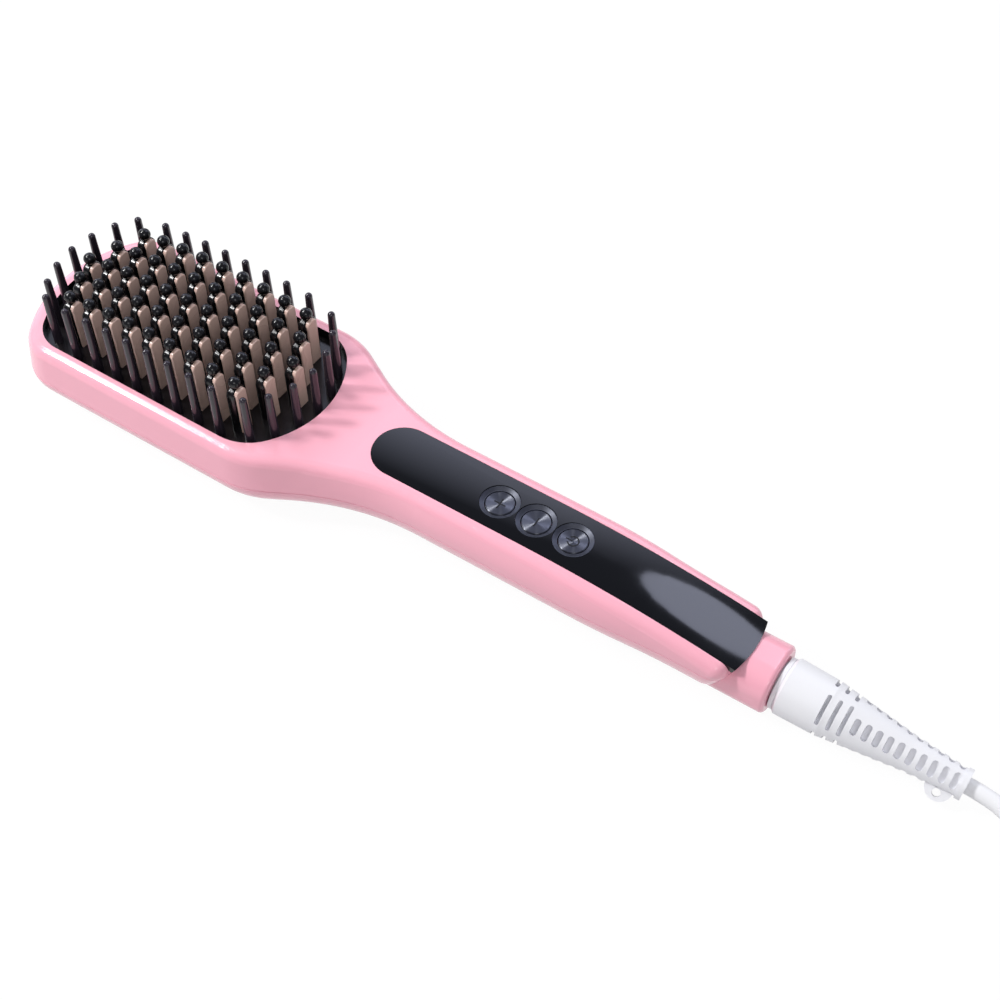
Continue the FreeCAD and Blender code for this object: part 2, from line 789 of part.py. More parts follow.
def make_guard(x, y):
    """One nylon guard: a round-shouldered post with a ball tip, open in front for its blade."""
    ball = V(x, y, mm.ball_height - crown_drop(x))
    top = ball.z - mm.neck_reach
    post, rims = round_topped(x - mm.guard_back, y, mm.guard_width, mm.bed_height, top,
                              mm.guard_shoulder, mm.guard_depth)
    post = post.makeFillet(mm.guard_edge, rims)
    post = post.cut(blade_space(x, y, mm.blade_clearance, mm.bed_height, ball.z))
    neck = pillar(mm.neck_diameter, x, y, top - mm.guard_edge, ball.z)
    return post.fuse([neck, Part.makeSphere(mm.ball_diameter / 2, ball)]).removeSplitter()


def make_blade(x, y):
    """One coated fin that stands on the heater plate, with a round top and eased front edges."""
    top = mm.ball_height - crown_drop(x) - mm.blade_drop
    front = x + mm.guard_depth - mm.guard_back + mm.blade_proud
    fin, rims = round_topped(front - mm.blade_thickness, y, mm.blade_width, plate_top, top,
                             mm.blade_corner, mm.blade_thickness)
    front_rims = [edge for edge in rims if edge.CenterOfMass.x > front - mm.blade_edge]
    return fin.makeFillet(mm.blade_edge, front_rims)


def make_pin(x, y):
    """One tapered edge pin with a round tip, seated on the bed."""
    tip_radius = mm.pin_tip_diameter / 2
    tip = mm.ball_height + mm.pin_rise - crown_drop(x) * mm.pin_crown_share - tip_radius
    taper = Part.makeCone(mm.pin_base_diameter / 2, tip_radius, tip - mm.bed_height, V(x, y, mm.bed_height))
    return taper.fuse(Part.makeSphere(tip_radius, V(x, y, tip))).removeSplitter()


feature("bristle_bed", make_bed())
feature("tooth_guards", Part.makeCompound([make_guard(x, y) for x, y in tooth_places()]))
feature("heating_blades", Part.makeCompound([make_blade(x, y) for x, y in tooth_places()]))
feature("edge_pins", Part.makeCompound([make_pin(x, y) for x, y in pin_places()]))


# Heater stack, hung under the bed


def make_heater_plate():
    radii = (mm.heater_plate_end_radius, mm.heater_plate_corner)
    plate = prism(oval(mm.heater_plate_reach, mm.heater_plate_width / 2, radii, radii, plate_bottom),
                  mm.heater_plate_thickness)
    holes = [heater_hole(x, y, plate_bottom, plate_top) for x, y in bed_screw_places]
    holes += [heater_hole(x, y, plate_bottom, plate_bottom + mm.heater_screw_bite + mm.screw_clearance)
              for x, y in clamp_screw_places]
    return plate.cut(holes)


def clamped_sheet(length, width, low, thickness):
    """A flat sheet under the strips, drilled for the clamp screws."""
    plate = Part.makeBox(length, width, thickness, V(-length / 2, -width / 2, low))
    return plate.cut([heater_hole(x, y, low, low + thickness) for x, y in clamp_screw_places])


def screws(places, seat, rise, diameter, head, head_height):
    """Equal screws with their heads below seat and their shanks above it."""
    group = []
    for x, y in places:
        shank = pillar(diameter, x, y, seat, seat + rise)
        group.append(shank.fuse(pillar(head, x, y, seat - head_height, seat)).removeSplitter())
    return Part.makeCompound(group)


def heater_screws(places, seat, rise):
    return screws(places, seat, rise, mm.heater_screw_diameter, mm.heater_screw_head,
                  mm.heater_screw_head_height)


def lying_rod(diameter, length, x, top):
    """A cylinder along X under a flat at the given height."""
    return Part.makeCylinder(diameter / 2, length, V(x, 0, top - diameter / 2), X_AXIS)


feature("heater_plate", make_heater_plate())
strips = [Part.makeBox(mm.strip_length, mm.strip_width, mm.strip_thickness,
                       V(-mm.strip_length / 2, side * mm.strip_offset - mm.strip_width / 2, strip_bottom))
          for side in (1, -1)]
feature("heater_strips", Part.makeCompound(strips))
mica_length = mm.clamp_length - 2 * mm.mica_margin
mica_width = mm.clamp_width - 2 * mm.mica_margin
feature("mica_sheet", clamped_sheet(mica_length, mica_width, mica_bottom, mm.mica_thickness))
feature("clamp_plate", clamped_sheet(mm.clamp_length, mm.clamp_width, clamp_bottom, mm.clamp_thickness))
feature("bed_screws", heater_screws(bed_screw_places, plate_bottom,
                                    bed_bottom - plate_bottom + mm.heater_screw_bite))
feature("clamp_screws", heater_screws(clamp_screw_places, clamp_bottom,
                                      plate_bottom - clamp_bottom + mm.heater_screw_bite))
feature("thermal_fuse", lying_rod(mm.fuse_diameter, mm.fuse_length, mm.fuse_x, clamp_bottom))
feature("thermistor", lying_rod(mm.thermistor_diameter, mm.thermistor_length, mm.thermistor_x, plate_bottom))
node("heat_shield", block("shield", "shield_length", "shield_width", "shield_thickness",
                          "-shield_length / 2", "-shield_width / 2", "shield_height"))


# Control panel, rings and buttons


def crowned():
    """Everything below the panel's crowned face, which runs level and then falls with the tail."""
    half = mm.panel_width / 2
    start = V(mm.panel_start_x, 0)
    edges = [V(start.x, side * half, mm.panel_height) for side in (-1, 1)]
    feet = [V(start.x, side * half) for side in (1, -1)]
    top = Part.Arc(edges[0], V(start.x, 0, mm.panel_height + mm.panel_crown), edges[1])
    rest = Part.makePolygon([edges[1]] + feet + [edges[0]]).Edges
    level = Part.Face(Part.Wire([top.toShape()] + rest)).extrude(X_AXIS * (mm.panel_flat_end_x - start.x))
    end_face = max(level.Faces, key=lambda face: face.CenterOfMass.x)
    radius = tail_fall_radius()
    turn = math.degrees(math.asin((mm.handle_end_x + mm.overrun - mm.panel_flat_end_x) / radius))
    hub = V(mm.panel_flat_end_x, 0, mm.panel_height - radius)
    return level.fuse(end_face.revolve(hub, Y_AXIS, turn))


def make_panel():
    panel = strip(mm.panel_width / 2).common(top_solid(0, -mm.panel_crown)).common(crowned())
    panel = panel.cut(under_top_line(mm.panel_thickness))
    holes = [pillar(mm.bezel_diameter + 2 * mm.bezel_gap, button_x(index), 0, mm.board_top, mm.rim_height)
             for index in range(len(BUTTON_MARKS))]
    return panel.cut(holes).removeSplitter()


RING_BOTTOM = "panel_height - panel_thickness - bezel_seat"
RING_PROFILE = [
    ("button_diameter / 2 + button_gap", RING_BOTTOM),
    ("bezel_diameter / 2", RING_BOTTOM),
    ("bezel_diameter / 2", "panel_height"),
    ("bezel_diameter / 2 - bezel_lip", "panel_height"),
    ("button_diameter / 2 + button_gap + bezel_lip", "panel_height - bezel_dish"),
    ("button_diameter / 2 + button_gap", "panel_height - bezel_dish"),
]
STEM_BOTTOM = "board_top + pad_thickness + dome_height + dome_gap"
FLANGE_TOP = "panel_height - roof - button_flange_gap"
FLANGE_BOTTOM = f"{FLANGE_TOP} - button_flange_thickness"
BUTTON_TOP = "panel_height - button_sunk"
BUTTON_PROFILE = [
    ("0", STEM_BOTTOM),
    ("button_stem_diameter / 2", STEM_BOTTOM),
    ("button_stem_diameter / 2", FLANGE_BOTTOM),
    ("button_flange_diameter / 2", FLANGE_BOTTOM),
    ("button_flange_diameter / 2", FLANGE_TOP),
    ("button_diameter / 2", FLANGE_TOP),
    ("button_diameter / 2", f"{BUTTON_TOP} - button_edge"),
    ("button_diameter / 2 - button_edge", BUTTON_TOP),
    ("0", f"{BUTTON_TOP} - button_dish"),
]

feature("control_panel", make_panel())
rings = []
for index, mark in enumerate(BUTTON_MARKS):
    spot = (f"first_button_x + {index} * button_pitch", "0", "0")
    rings.append(turned(f"ring_{mark}", RING_PROFILE, spot))
    node(f"button_{mark}", turned(f"button_{mark}", BUTTON_PROFILE, spot))
ring_group = doc.addObject("Part::Compound", "ring_group")
ring_group.Links = rings
node("button_rings", ring_group)


# Control board and what it carries

board_bottom = mm.board_top - mm.board_thickness
blank = block("board_blank", "board_end_x - board_start_x", "board_width", "board_thickness",
              "board_start_x", "-board_width / 2", "board_top - board_thickness")
drills = []
for side in ("", "-"):
    for place in ("first", "last"):
        drills.append(rod("drill", "board_screw_diameter / 2 + screw_clearance", "board_thickness",
                          f"board_post_{place}_x", f"{side}board_post_y", "board_top - board_thickness"))
node("control_board", cut("board", blank, joined("drills", drills)))
display = block("display", "window_length + 2 * display_margin", "window_width + 2 * display_margin",
                "panel_height - roof - display_gap - board_top",
                "display_x - window_length / 2 - display_margin",
                "-window_width / 2 - display_margin", "board_top")
node("display_module", display)
pad = block("pad", "pad_length", "pad_width", "pad_thickness",
            "first_button_x + button_pitch - pad_length / 2", "-pad_width / 2", "board_top")
domes = []
for index in range(len(BUTTON_MARKS)):
    dome = doc.addObject("Part::Cone", "dome")
    bind(dome, Radius1="dome_diameter / 2", Radius2="button_stem_diameter / 2", Height="dome_height")
    bind(dome, Placement__Base__x=f"first_button_x + {index} * button_pitch",
         Placement__Base__z="board_top + pad_thickness")
    domes.append(dome)
node("button_pad", joined("pad_with_domes", [pad] + domes))
node("power_capacitor", block("capacitor", "capacitor_length", "capacitor_width", "capacitor_height",
                              "capacitor_x - capacitor_length / 2", "-capacitor_width / 2",
                              "board_top - board_thickness - capacitor_height"))
node("heater_triac", block("triac", "triac_length", "triac_width", "triac_height",
                           "triac_x - triac_length / 2", "-triac_width / 2",
                           "board_top - board_thickness - triac_height"))
feature("board_screws", screws(board_screw_places(), board_bottom, mm.board_thickness + mm.board_screw_bite,
                               mm.board_screw_diameter, mm.board_screw_head, mm.board_screw_head_height))
feature("shell_screws", screws(shell_screw_places(), mm.shell_screw_sink,
                               mm.seam_height - mm.shell_screw_sink + mm.shell_screw_bite,
                               mm.shell_screw_diameter, mm.shell_screw_head, mm.shell_screw_head_height))


# End collar and swivel; lengths along the swivel's tipped axis are counted from its pivot

tipped = FreeCAD.Placement(V(mm.axis_pivot_x, 0, mm.axis_height), FreeCAD.Rotation(Y_AXIS, mm.axis_tip_angle))
chamber_end = mm.collar_end_x - mm.collar_wall - mm.axis_pivot_x
flange_front = chamber_end - mm.swivel_gap
flange_back = flange_front - mm.swivel_flange
barrel_start = mm.collar_end_x - mm.axis_pivot_x + mm.relief_neck_band
ribs_start = barrel_start + mm.barrel_length
ribs_end = ribs_start + mm.ribs_length
relief_end = ribs_end + mm.end_flange_thickness


def shaft(diameter, start, end):
    """A cylinder along X between two distances from the pivot."""
    return Part.makeCylinder(diameter / 2, end - start, V(start, 0, 0), X_AXIS)


def tipped_feature(label, shape):
    """A piece drawn along X from the pivot and then tipped down with the swivel's axis."""
    item = feature(label, shape)
    item.Placement = tipped


def make_collar():
    """The collar that follows the handle's end, with a spigot and ears inside the shells."""
    length = mm.collar_end_x - mm.collar_start_x
    sleeve = Part.makeBox(length, mm.collar_width, mm.collar_height,
                          V(mm.collar_start_x, -mm.collar_width / 2, mm.axis_height - mm.collar_height / 2))
    long_edges = [edge for edge in sleeve.Edges if edge.BoundBox.XLength > length / 2]
    sleeve = sleeve.makeFillet(mm.collar_corner, long_edges)
    end_face = max(sleeve.Faces, key=lambda side: side.CenterOfMass.x)
    sleeve = sleeve.makeFillet(mm.collar_edge, end_face.Edges).cut([back_outer, top_outer])
    sleeve = max(sleeve.Solids, key=lambda solid: solid.CenterOfMass.x)
    spigot = Part.makeCylinder(mm.spigot_diameter / 2, mm.axis_pivot_x - mm.spigot_start_x,
                               V(mm.spigot_start_x, 0, mm.axis_height), X_AXIS)
    ears = Part.makeBox(mm.ear_thickness, mm.ear_width, mm.ear_height,
                        V(mm.spigot_start_x, -mm.ear_width / 2, mm.axis_height - mm.ear_drop))
    ways = [shaft(mm.spigot_bore, mm.spigot_start_x - mm.axis_pivot_x - mm.overrun, chamber_end),
            shaft(mm.chamber_diameter, chamber_end - mm.chamber_length, chamber_end),
            shaft(mm.relief_neck_diameter + 2 * mm.swivel_gap, chamber_end - mm.chamber_length, ribs_start)]
    for way in ways:
        way.Placement = tipped
    return sleeve.fuse([spigot, ears]).cut(ways).removeSplitter()


waist_x = ribs_start + mm.ribs_length * mm.ribs_waist_share


def rib_radius(x):
    """The ribbed stage tapers to its waist, and then more slowly to its end."""
    if x < waist_x:
        share = (waist_x - max(x, ribs_start)) / (waist_x - ribs_start)
        return (mm.ribs_waist_diameter + (mm.ribs_start_diameter - mm.ribs_waist_diameter) * share) / 2
    share = (x - waist_x) / (ribs_end - waist_x)
    return (mm.ribs_waist_diameter + (mm.ribs_end_diameter - mm.ribs_waist_diameter) * share) / 2


def slot_tools():
    """Round-ended slots in rows along the four sides; the first few are longer and thinner."""
    tools = []
    for index in range(SLOT_COUNT):
        x = barrel_start + mm.slot_first + index * mm.slot_pitch
        radius = rib_radius(x)
        tall = index < TALL_SLOTS
        width = mm.slot_thin_width if tall else mm.slot_width
        length = mm.slot_tall_length if tall else mm.slot_length
        inner = radius * mm.slot_core_share
        slot = Part.makeBox(width, 2 * radius - inner, length, V(x - width / 2, -2 * radius, -length / 2))
        ends = [edge for edge in slot.Edges if edge.BoundBox.YLength > radius / 2]
        slot = slot.makeFillet(width * mm.slot_round_share, ends)
        for row in range(SLOT_ROWS):
            turned_slot = slot.copy()
            turned_slot.rotate(V(0, 0, 0), X_AXIS, 360 * row / SLOT_ROWS - mm.relief_roll_angle)
            tools.append(turned_slot)
    return tools


def make_relief():
    """The swivelling strain relief: flange, neck, band, barrel, slotted ribs and a hanging loop."""
    flange = mm.chamber_diameter / 2 - mm.flange_gap
    neck = mm.relief_neck_diameter / 2
    band = mm.band_diameter / 2
    band_start = barrel_start - mm.band_length
    barrel = mm.barrel_diameter / 2
    barrel_end = mm.barrel_end_diameter / 2
    last = mm.end_flange_diameter / 2
    profile = [(flange_back, 0), (flange_back, flange), (flange_front, flange), (flange_front, neck),
               (band_start, neck), (band_start, band), (barrel_start, band),
               (barrel_start, barrel - mm.relief_edge), (barrel_start + mm.relief_edge, barrel),
               (ribs_start - mm.relief_edge, barrel_end),
               (ribs_start, rib_radius(ribs_start)), (waist_x, rib_radius(waist_x)),
               (ribs_end, rib_radius(ribs_end)),
               (ribs_end, last), (relief_end, last), (relief_end, 0)]
    spots = [V(x, 0, radius) for x, radius in profile]
    body = Part.Face(Part.makePolygon(spots + spots[:1])).revolve(V(0, 0, 0), X_AXIS, 360)
    x = relief_end - mm.loop_back
    low = -mm.loop_thickness / 2
    eye = Part.makeCylinder(mm.loop_outer_diameter / 2, mm.loop_thickness, V(x, -mm.loop_reach, low))
    root = Part.makeBox(mm.loop_outer_diameter, mm.loop_reach, mm.loop_thickness,
                        V(x - mm.loop_outer_diameter / 2, -mm.loop_reach, low))
    hole = Part.makeCylinder(mm.loop_hole_diameter / 2, mm.loop_thickness, V(x, -mm.loop_hole_reach, low))
    loop = eye.fuse(root)
    for shape in (loop, hole):
        shape.Placement = FreeCAD.Placement(V(0, 0, 0), FreeCAD.Rotation(X_AXIS, mm.loop_angle))
    return body.cut(slot_tools()).fuse(loop).cut(hole).removeSplitter()


feature("end_collar", make_collar())
tipped_feature("strain_relief", make_relief())
core_start = flange_back - mm.core_length
tipped_feature("swivel_core", shaft(mm.core_diameter, core_start, flange_back))
slip_rings = []
fingers = []
finger_start = mm.board_end_x - mm.finger_overlap
for index, side in enumerate((1, -1)):
    ring_start = core_start + mm.ring_first + index * mm.ring_pitch
    ring_end = ring_start + mm.ring_width
    ring = shaft(mm.ring_diameter, ring_start, ring_end)
    slip_rings.append(ring.cut(shaft(mm.core_diameter + 2 * mm.ring_gap, ring_start, ring_end)))
    finger_end = tipped.multVec(V(ring_end, 0, 0)).x
    fingers.append(Part.makeBox(finger_end - finger_start, mm.finger_width, mm.finger_thickness,
                                V(finger_start, side * mm.finger_offset - mm.finger_width / 2,
                                  board_bottom - mm.finger_thickness)))
tipped_feature("slip_rings", Part.makeCompound(slip_rings))
feature("contact_fingers", Part.makeCompound(fingers))


# Leads and the cord's free run


def swept(label, edges, start, heading, diameter):
    """Sweep a round section along edges, and compare the volume with section times length."""
    path = Part.Wire(edges)
    section = Part.Wire(Part.makeCircle(diameter / 2, start, heading))
    solid = path.makePipeShell([section], True, False)
    straight_volume = math.pi * diameter ** 2 / 4 * path.Length
    print(f"{label}: length {path.Length:.1f} mm, volume share {solid.Volume / straight_volume:.4f}")
    return solid


def tube(label, points, diameter):
    """A round tube on straight runs joined by arcs that take a set share of the shorter run."""
    edges = []
    start = points[0]
    for before, corner, after in zip(points, points[1:], points[2:]):
        arriving = corner - before
        leaving = after - corner
        reach = BEND_REACH_SHARE * min(arriving.Length, leaving.Length)
        print(f"{label}: bend radius {reach / math.tan(arriving.getAngle(leaving) / 2):.1f} mm")
        arriving.normalize()
        arc_start = corner - arriving * reach
        arc_end = corner + leaving.normalize() * reach
        edges.append(Part.LineSegment(start, arc_start).toShape())
        edges.append(arc_leaving(arc_start, arriving, arc_end).toShape())
        start = arc_end
    edges.append(Part.LineSegment(start, points[-1]).toShape())
    return swept(label, edges, points[0], points[1] - points[0], diameter)


leads = []
for side in (1, -1):
    strip_end = V(mm.strip_length / 2, side * mm.strip_offset, plate_bottom - mm.strip_thickness / 2)
    board_face = V(mm.board_start_x, side * mm.lead_board_y, mm.board_top - mm.board_thickness / 2)
    straight = X_AXIS * ((board_face.x - strip_end.x) * mm.lead_first_share)
    leads.append(tube("heater_leads", [strip_end, strip_end + straight, board_face - straight, board_face],
                      mm.lead_diameter))
feature("heater_leads", Part.makeCompound(leads))

coil_height = mm.cord_diameter / 2 + mm.tie_gap + mm.tie_thickness + mm.tie_floor_gap
cord_start = tipped.multVec(V(relief_end, 0, 0))
cord_route = [cord_start, tipped.multVec(V(relief_end + CORD_FIRST_SHARE * mm.cord_diameter, 0, 0))]
fall = cord_route[1].z - coil_height
for along, across, fall_share in CORD_ROUTE_SHARES:
    cord_route.append(V(cord_start.x + along * mm.cord_diameter, across * mm.cord_diameter,
                        cord_route[1].z - fall * fall_share))
feature("cord_run", tube("cord_run", cord_route, mm.cord_diameter))


# The coil winds in over one layer, climbs where the spiral turns back, and winds out over the second

coil_heading = (cord_route[-1] - cord_route[-2]).normalize()
coil_begin = cord_route[-1] + coil_heading * mm.coil_lead
climb_from = (COIL_TURNS - CLIMB_TURNS) / 2
first_slope = math.atan(mm.coil_step / (2 * math.pi * mm.coil_outer_radius))
first_angle = math.atan2(coil_heading.y, coil_heading.x) - math.pi / 2 - first_slope
coil_centre = coil_begin - V(math.cos(first_angle), math.sin(first_angle)) * mm.coil_outer_radius


def coil_point(turn):
    """The cord's centre and its direction at a number of turns from the coil's start."""
    climb = min(max((turn - climb_from) / CLIMB_TURNS, 0), 1)
    wound_in = min(turn, COIL_TURNS - turn)
    if 0 < climb < 1:
        wound_in = climb_from + CLIMB_TURNS * climb * (1 - climb)
    radius = mm.coil_outer_radius - mm.coil_step * wound_in
    angle = first_angle + 2 * math.pi * turn
    outward = V(math.cos(angle), math.sin(angle))
    onward = V(-math.sin(angle), math.cos(angle))
    point = coil_centre + outward * radius + Z_AXIS * (mm.coil_rise * climb ** 2 * (3 - 2 * climb))
    way = onward * (2 * math.pi * radius) + outward * (mm.coil_step * (2 * climb - 1))
    way += Z_AXIS * (mm.coil_rise * 6 * climb * (1 - climb) / CLIMB_TURNS)
    return point, way.normalize()


def biarc(start, start_way, end, end_way):
    """Two arcs that leave start along one direction and reach end along another."""
    span = end - start
    along = span.dot(start_way + end_way)
    spread = 2 * (1 - start_way.dot(end_way))
    reach = (math.sqrt(along ** 2 + spread * span.dot(span)) - along) / spread
    first = start + start_way * reach
    second = end - end_way * reach
    joint = (first + second) / 2
    return [arc_leaving(start, start_way, joint).toShape(),
            arc_leaving(joint, (second - first).normalize(), end).toShape()]


def make_coil():
    edges = [Part.LineSegment(cord_route[-1], coil_begin).toShape()]
    stops = [coil_point(COIL_TURNS * index / COIL_QUARTERS) for index in range(COIL_QUARTERS + 1)]
    for (start, start_way), (end, end_way) in zip(stops, stops[1:]):
        edges += biarc(start, start_way, end, end_way)
    edges.append(Part.LineSegment(coil_end, cord_end).toShape())
    return swept("cord_coil", edges, cord_route[-1], coil_heading, mm.cord_diameter)


def coil_gap():
    """The least gap between turns of the coil that are at least half a turn apart."""
    apart = GAP_STEPS_PER_TURN // 2
    least = min(one.distanceToPoint(other) for index, one in enumerate(coil_points)
                for other in coil_points[index + apart:])
    return least - mm.cord_diameter


def make_tie():
    """A strap round both layers, fitted to the turns that pass through it."""
    angle = first_angle + 2 * math.pi * TIE_TURN_SHARE
    outward = V(math.cos(angle), math.sin(angle))
    onward = V(-math.sin(angle), math.cos(angle))
    step = 2 * math.pi * mm.coil_outer_radius / GAP_STEPS_PER_TURN
    arms = [point - coil_centre for point in coil_points]
    reaches = [arm.dot(outward) for arm in arms
               if arm.dot(outward) > 0 and abs(arm.dot(onward)) < mm.tie_width / 2 + step]
    room = mm.cord_diameter / 2 + mm.tie_gap
    near = min(reaches) - room
    length = max(reaches) + room - near
    height = mm.coil_rise + 2 * room
    low = coil_height - room
    inside = Part.makeBox(length, mm.tie_width, height, V(near, -mm.tie_width / 2, low))
    wrap = mm.tie_thickness
    outside = Part.makeBox(length + 2 * wrap, mm.tie_width, height + 2 * wrap,
                           V(near - wrap, -mm.tie_width / 2, low - wrap))
    strap = rounded_along_y(outside, mm.tie_corner + wrap).cut(rounded_along_y(inside, mm.tie_corner))
    strap.Placement = FreeCAD.Placement(V(coil_centre.x, coil_centre.y, 0),
                                        FreeCAD.Rotation(Z_AXIS, math.degrees(angle)))
    return strap.removeSplitter()


def rounded_along_y(box, radius):
    edges = [edge for edge in box.Edges if edge.BoundBox.YLength > mm.tie_width / 2]
    return box.makeFillet(radius, edges)


def make_plug():
    """The plug's body and its relief, drawn along X from the cord's end."""
    height = 2 * cord_end.z
    grip = Part.makeBox(mm.plug_length, mm.plug_width, height,
                        V(mm.plug_relief_length, -mm.plug_width / 2, -cord_end.z))
    uprights = [edge for edge in grip.Edges if edge.BoundBox.ZLength > height / 2]
    grip = grip.makeFillet(mm.plug_corner, uprights)
    flats = [face for face in grip.Faces if face.BoundBox.ZLength < height / 2]
    grip = grip.makeFillet(mm.plug_edge, flats[0].Edges + flats[1].Edges)
    sleeve = Part.makeCone(mm.plug_relief_end_diameter / 2, mm.plug_relief_diameter / 2,
                           mm.plug_relief_length, V(0, 0, 0), X_AXIS)
    return grip.fuse(sleeve).removeSplitter()


def make_plug_pins():
    face = mm.plug_relief_length + mm.plug_length
    pins = []
    for side in (1, -1):
        middle = side * mm.blade_pin_spacing / 2
        pins.append(Part.makeBox(mm.blade_pin_length, mm.blade_pin_thickness, mm.blade_pin_width,
                                 V(face, middle - mm.blade_pin_thickness / 2, -mm.blade_pin_width / 2)))
    return Part.makeCompound(pins)


coil_points = [coil_point(index / GAP_STEPS_PER_TURN)[0]
               for index in range(int(COIL_TURNS * GAP_STEPS_PER_TURN) + 1)]
coil_end, coil_end_way = coil_point(COIL_TURNS)
cord_end = coil_end + coil_end_way * mm.coil_end_lead
print(f"cord_coil: least gap {coil_gap():.3f} mm, wanted over {mm.least_gap} mm")
feature("cord_coil", make_coil())
feature("cord_tie", make_tie())
plug_turn = math.degrees(math.atan2(coil_end_way.y, coil_end_way.x))
for label, shape in (("plug_body", make_plug()), ("plug_pins", make_plug_pins())):
    feature(label, shape).Placement = FreeCAD.Placement(cord_end, FreeCAD.Rotation(Z_AXIS, plug_turn))


# Every object is checked before anything is written

doc.recompute()
for item in doc.Objects:
    if {"Invalid", "Error"} & set(item.State):
        raise RuntimeError(f"{item.Label} is in error: {item.State}")
for label, item in nodes.items():
    if item.Shape.isNull() or not item.Shape.isValid():
        raise RuntimeError(f"{label} has no valid shape")
os.makedirs("parts", exist_ok=True)
for label, item in nodes.items():
    print(f"{label}: {len(item.Shape.Solids)} solids, {item.Shape.Volume:.1f} mm3")
    item.Shape.exportStep(f"parts/{label}.step")
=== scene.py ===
# %% [markdown]
# A heated styling brush
#
# This lesson dresses a finished CAD model. The shells, the bed, the 49 teeth, the pins, the panel,
# the buttons and the swivel come from the frame with their true sizes, so they are not modelled
# again here. What is left for Blender is what the CAD can't say: the mains cord as a smooth line,
# the marks on the buttons, every finish, the light and the camera.

# %% Load the frame
import math

import bpy
from mathutils import Matrix, Vector


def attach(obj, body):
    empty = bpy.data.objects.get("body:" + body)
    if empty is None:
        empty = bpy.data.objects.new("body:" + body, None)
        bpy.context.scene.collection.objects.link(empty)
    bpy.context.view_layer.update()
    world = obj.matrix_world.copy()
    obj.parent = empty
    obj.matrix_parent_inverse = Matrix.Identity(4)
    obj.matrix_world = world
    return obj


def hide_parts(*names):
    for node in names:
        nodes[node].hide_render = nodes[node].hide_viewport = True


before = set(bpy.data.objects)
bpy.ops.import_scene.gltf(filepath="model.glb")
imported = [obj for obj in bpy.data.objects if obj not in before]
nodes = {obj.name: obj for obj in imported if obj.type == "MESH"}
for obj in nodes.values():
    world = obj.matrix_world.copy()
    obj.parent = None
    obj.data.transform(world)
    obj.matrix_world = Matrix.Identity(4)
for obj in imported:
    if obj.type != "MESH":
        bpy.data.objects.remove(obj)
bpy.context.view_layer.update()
MM = 0.001

# %% [markdown]
# The camera
#
# The photograph looks down on the brush from the side of the cord, about 51 degrees above the
# table, with a lens that is long enough to keep the handle from tapering much. The three
# directions below were fitted to the picture, so the camera is placed by its own axes instead of
# by angles or a target: its columns are right, up and backwards.

# %% Camera
camera_right = Vector((0.83269, 0.55371, -0.00573))
camera_down = Vector((0.42980, -0.65281, -0.62379))
camera_forward = Vector((-0.34914, 0.51696, -0.78157))
camera_place = Vector((0.28504, -0.24674, 0.39953))

camera_data = bpy.data.cameras.new("studio_camera")
camera_data.sensor_width = 36.0
camera_data.lens = 57.6
camera_data.clip_start = 0.01
camera = bpy.data.objects.new("studio_camera", camera_data)
bpy.context.scene.collection.objects.link(camera)
axes = Matrix((camera_right, -camera_down, -camera_forward)).transposed()
camera.matrix_world = Matrix.Translation(camera_place) @ axes.to_4x4()
bpy.context.scene.camera = camera
print("camera at", tuple(round(c, 3) for c in camera_place))

# %% [markdown]
# The mains cord
#
# A white round lead of 5 mm leaves the strain relief, dips to the table and runs out of the
# picture. The rest of its length is put away in a flat coil of two layers, as it would be on a
# shelf. It could be a mesh tube, but a curve keeps its round section by itself, so the whole lead
# is one NURBS spline whose control points are the route: six points for the free run, then the
# coil from a formula, which winds in, climbs a layer in half a turn and winds out again.

# %% Cord route
CORD_DIAMETER = 5.0 * MM
free_run = [
    (272.142, 0.00, 6.928),
    (278.137, 0.00, 6.677),
    (285.142, -1.25, 5.927),
    (294.142, -5.10, 4.622),
    (304.642, -11.20, 3.900),
    (314.642, -17.75, 3.900),
]
free_run = [Vector(point) * MM for point in free_run]
COIL_RADIUS = 40.2 * MM
COIL_STEP = 5.6 * MM
COIL_LIFT = 5.5 * MM
COIL_LEAD = 5.0 * MM
COIL_TURNS = 7.25
CLIMB_START = 3.375
CLIMB_TURNS = 0.5
END_LEAD = 20.0 * MM
POINTS_PER_TURN = 24
HEADING_STEP = 0.01  # of a turn

heading = (free_run[-1] - free_run[-2]).normalized()
coil_begin = free_run[-1] + heading * COIL_LEAD
first_slope = math.atan(COIL_STEP / (math.tau * COIL_RADIUS))
first_angle = math.atan2(heading.y, heading.x) - math.pi / 2 - first_slope
coil_centre = coil_begin - COIL_RADIUS * Vector((math.cos(first_angle), math.sin(first_angle), 0))


def coil_point(turn):
    climb = min(max((turn - CLIMB_START) / CLIMB_TURNS, 0.0), 1.0)
    wound_in = min(turn, COIL_TURNS - turn)
    if 0.0 < climb < 1.0:
        wound_in = CLIMB_START + CLIMB_TURNS * climb * (1 - climb)
    radius = COIL_RADIUS - COIL_STEP * wound_in
    angle = first_angle + math.tau * turn
    lift = COIL_LIFT * climb * climb * (3 - 2 * climb)
    return coil_centre + Vector((radius * math.cos(angle), radius * math.sin(angle), lift))


coil_count = round(COIL_TURNS * POINTS_PER_TURN)
coil = [coil_point(COIL_TURNS * i / coil_count) for i in range(coil_count + 1)]
coil_end_heading = (coil[-1] - coil_point(COIL_TURNS - HEADING_STEP)).normalized()
cord_points = free_run + coil + [coil[-1] + coil_end_heading * END_LEAD]
print("cord route:", len(cord_points), "control points")

